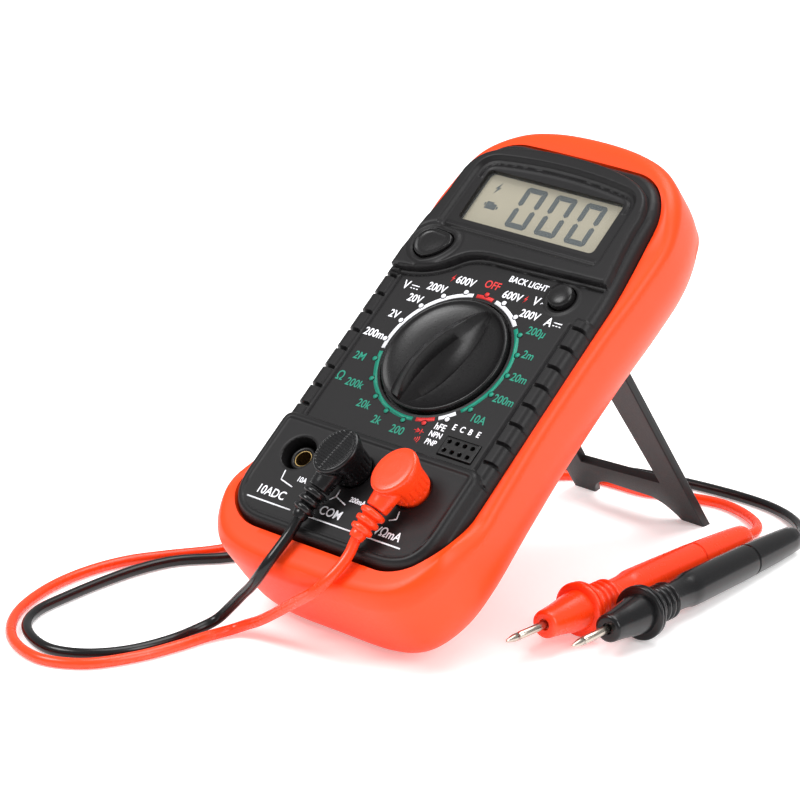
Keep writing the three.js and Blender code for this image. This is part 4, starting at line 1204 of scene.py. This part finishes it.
def make_plug(name, lead):
    place = plug_place(lead)
    outward = Matrix.Rotation(PLUG_DROOP, 4, "X") @ Matrix.Rotation(math.pi / 2, 4, "X")
    z0 = JACK_RISE + 0.35
    foot = [(4.2, -3.4), (4.35, -3.3), (4.35, z0), (5.05, z0), (5.25, z0 + 0.3), (5.3, 5.5)]
    collar = scratch(*lathe(foot, 96))
    turn = np.linspace(0, 2 * math.pi, 96, endpoint=False)
    levels = [
        (z0 + 0.6, 5.1, 5.1, 0.0), (6.0, 5.25, 5.25, 0.0), (8.0, 5.2, 5.5, -0.2), (9.8, 5.3, 6.2, -0.5),
        (11.2, 5.45, 6.8, -0.7), (12.3, 5.5, 6.95, -0.8), (12.75, 5.3, 6.75, -0.8), (13.0, 4.9, 6.3, -0.8),
        (13.1, 4.0, 5.2, -0.8), (13.15, 2.0, 2.6, -0.8),
    ]
    stack = [[(rx * math.cos(t), cy + ry * math.sin(t), z) for t in turn] for z, rx, ry, cy in levels]
    dome = scratch(*skin(stack))
    neck_shape = lathe([(2.6, -3.9), (3.7, -3.8), (3.1, 2.4), (2.9, 3.6), (2.5, 3.8)], 64)
    neck = scratch(*moved(neck_shape, Matrix.Translation((0, -6.6, 8.3)) @ outward))
    blank = scratch(*combine(collar, [dome, neck], "UNION"))
    fuse = blank.modifiers.new("fuse", "REMESH")
    fuse.mode = "VOXEL"
    fuse.voxel_size = 0.15
    soften = blank.modifiers.new("soften", "SMOOTH")
    soften.iterations = 5
    soften.factor = 0.5
    mesh = evaluated(blank)
    bpy.data.objects.remove(blank)
    p = np.array([v.co for v in mesh.vertices])
    normal = np.array([v.normal for v in mesh.vertices])
    grip = np.zeros(len(p))
    # Upright ribs round the barrel; on the black plug also fine ribs across the cap and a seam along it.
    around = np.degrees(np.arctan2(p[:, 1], p[:, 0]))
    barrel = np.clip((p[:, 2] - z0 - 0.8) / 0.6, 0, 1) * np.clip((8.4 - p[:, 2]) / 0.8, 0, 1)
    grip -= 0.3 * barrel * ridge((around % 20) - 10, 2.8)
    if name == "black":
        rim = np.hypot(p[:, 0] / 5.0, (p[:, 1] + 0.8) / 6.4)
        cap = np.clip((p[:, 2] - 12.3) / 0.3, 0, 1) * np.clip((0.97 - rim) / 0.05, 0, 1)
        grip -= 0.24 * cap * (0.5 + 0.5 * np.cos(2 * math.pi * p[:, 1] / 0.78))
        grip -= 0.16 * cap * ridge(p[:, 0] - 0.2, 0.2)
    p = p + normal * grip[:, None]
    faces = [tuple(q.vertices) for q in mesh.polygons]
    body, slot = f"{name}_plug", f"{name}_gloss"
    piece(f"{name}_plug_cap", p.tolist(), faces, lead["look"], body, slot, place, [f"{name}_plug_boot"])
    profile = [(1.2, 0.05)]
    for i in range(3):
        y, r = i * RIB_STEP, 3.4 - 0.22 * i
        profile += [
            (r - 0.95, y + 0.1), (r - 0.7, y + 0.2), (r - 0.15, y + 0.45), (r, y + 0.8), (r, y + 1.3),
            (r - 0.15, y + 1.65), (r - 0.7, y + 1.9), (r - 0.95, y + 2.05),
        ]
    profile += [(2.1, 7.0), (2.0, 7.8), (1.75, 8.4), (1.3, 8.45)]
    relief = moved(lathe(profile, 64), Matrix.Translation((0, -10.7, 7.7)) @ outward)
    piece(f"{name}_relief", *relief, lead["look"], body, slot, place, [f"{name}_strain_relief"], 60)


# ---- probes
def make_probe(name, lead):
    tip, tail = Vector(lead["tip"]), Vector(lead["tail"])
    along = (tail - tip).normalized()
    heading = Vector((0, 1, 0)).rotation_difference(along).to_matrix().to_4x4()
    place = WORLD @ Matrix.Translation(tip) @ heading
    lay = Matrix.Rotation(-math.pi / 2, 4, "X")
    m, f, ribs, end = PROBE.values()
    profile = [  # the nose, then the finger guard's two discs
        (1.3, m + 0.6), (1.5, m - 0.2), (2.6, m - 0.4), (3.2, m - 0.3), (3.6, m + 0.1), (3.7, m + 0.6),
        (3.85, m + 2.5), (4.1, m + 5), (4.45, m + 7.5), (4.9, f - 5), (5.2, f - 2.4), (5.3, f - 1.6),
        (6.4, f - 1.5), (6.9, f - 1.4), (7.15, f - 1.1), (7.15, f - 0.5), (6.9, f - 0.25), (6.3, f - 0.1),
        (6.3, f + 0.1), (6.9, f + 0.3), (7.0, f + 0.8), (6.8, f + 1.2), (6.2, f + 1.4), (5.3, f + 1.7),
        (4.7, f + 2.2), (4.4, f + 2.8),
    ]
    for i in range(4):
        y = f + 3.4 + i * 2.2
        rib = ((4.3, 0), (4.7, 0.2), (4.95, 0.5), (4.95, 0.95), (4.7, 1.25), (4.3, 1.45))
        profile += [(r, y + step) for r, step in rib]
    profile += [  # the waist, the grip with its seam, and the rounded rear
        (4.15, ribs - 1), (4.0, ribs + 0.6), (3.95, ribs + 3), (4.05, ribs + 6), (4.3, ribs + 7.6),
        (4.55, ribs + 8.8), (4.62, ribs + 11), (4.6, ribs + 20), (4.48, end - 26), (4.42, end - 24.3),
        (4.05, end - 24.1), (4.05, end - 23.5), (4.38, end - 23.3), (4.1, end - 12), (3.75, end - 4),
        (3.5, end - 1), (3.2, end - 0.3), (2.6, end), (1.2, end),
    ]
    handle = piece(
        f"{name}_probe_grip", *moved(lathe(profile, 96), lay), lead["look"], "case", f"{name}_gloss", place,
        [f"{name}_probe_handle"], 55,
    )
    needle_profile = [
        (0.06, 0), (0.3, 0.3), (0.5, 0.8), (0.8, 2.2), (1.0, 3.3), (1.05, 4.4), (0.8, 4.7), (0.78, 5.2),
        (1.05, 5.5), (1.05, m + 2), (0.9, m + 2.4),
    ]
    needle = piece(
        f"{name}_probe_tip", *moved(lathe(needle_profile, 48), lay), NICKEL, "case", "plated_steel", place,
        [f"{name}_probe_needle"], 55,
    )
    return handle, needle


for name, lead in LEADS.items():
    cord, path = cords[name]
    make_plug(name, lead)
    handle, needle = make_probe(name, lead)
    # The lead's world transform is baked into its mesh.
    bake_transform(cord)


# ---- floor
FLOOR_HALF = 15


def make_floor():
    mesh = bpy.data.meshes.new("floor")
    corners = [(sx * FLOOR_HALF, sy * FLOOR_HALF, 0) for sx, sy in ((-1, -1), (1, -1), (1, 1), (-1, 1))]
    mesh.from_pydata(corners, [], [(0, 1, 2, 3)])
    mesh.materials.append(FLOOR)
    obj = bpy.data.objects.new("floor", mesh)
    bpy.context.scene.collection.objects.link(obj)


make_floor()
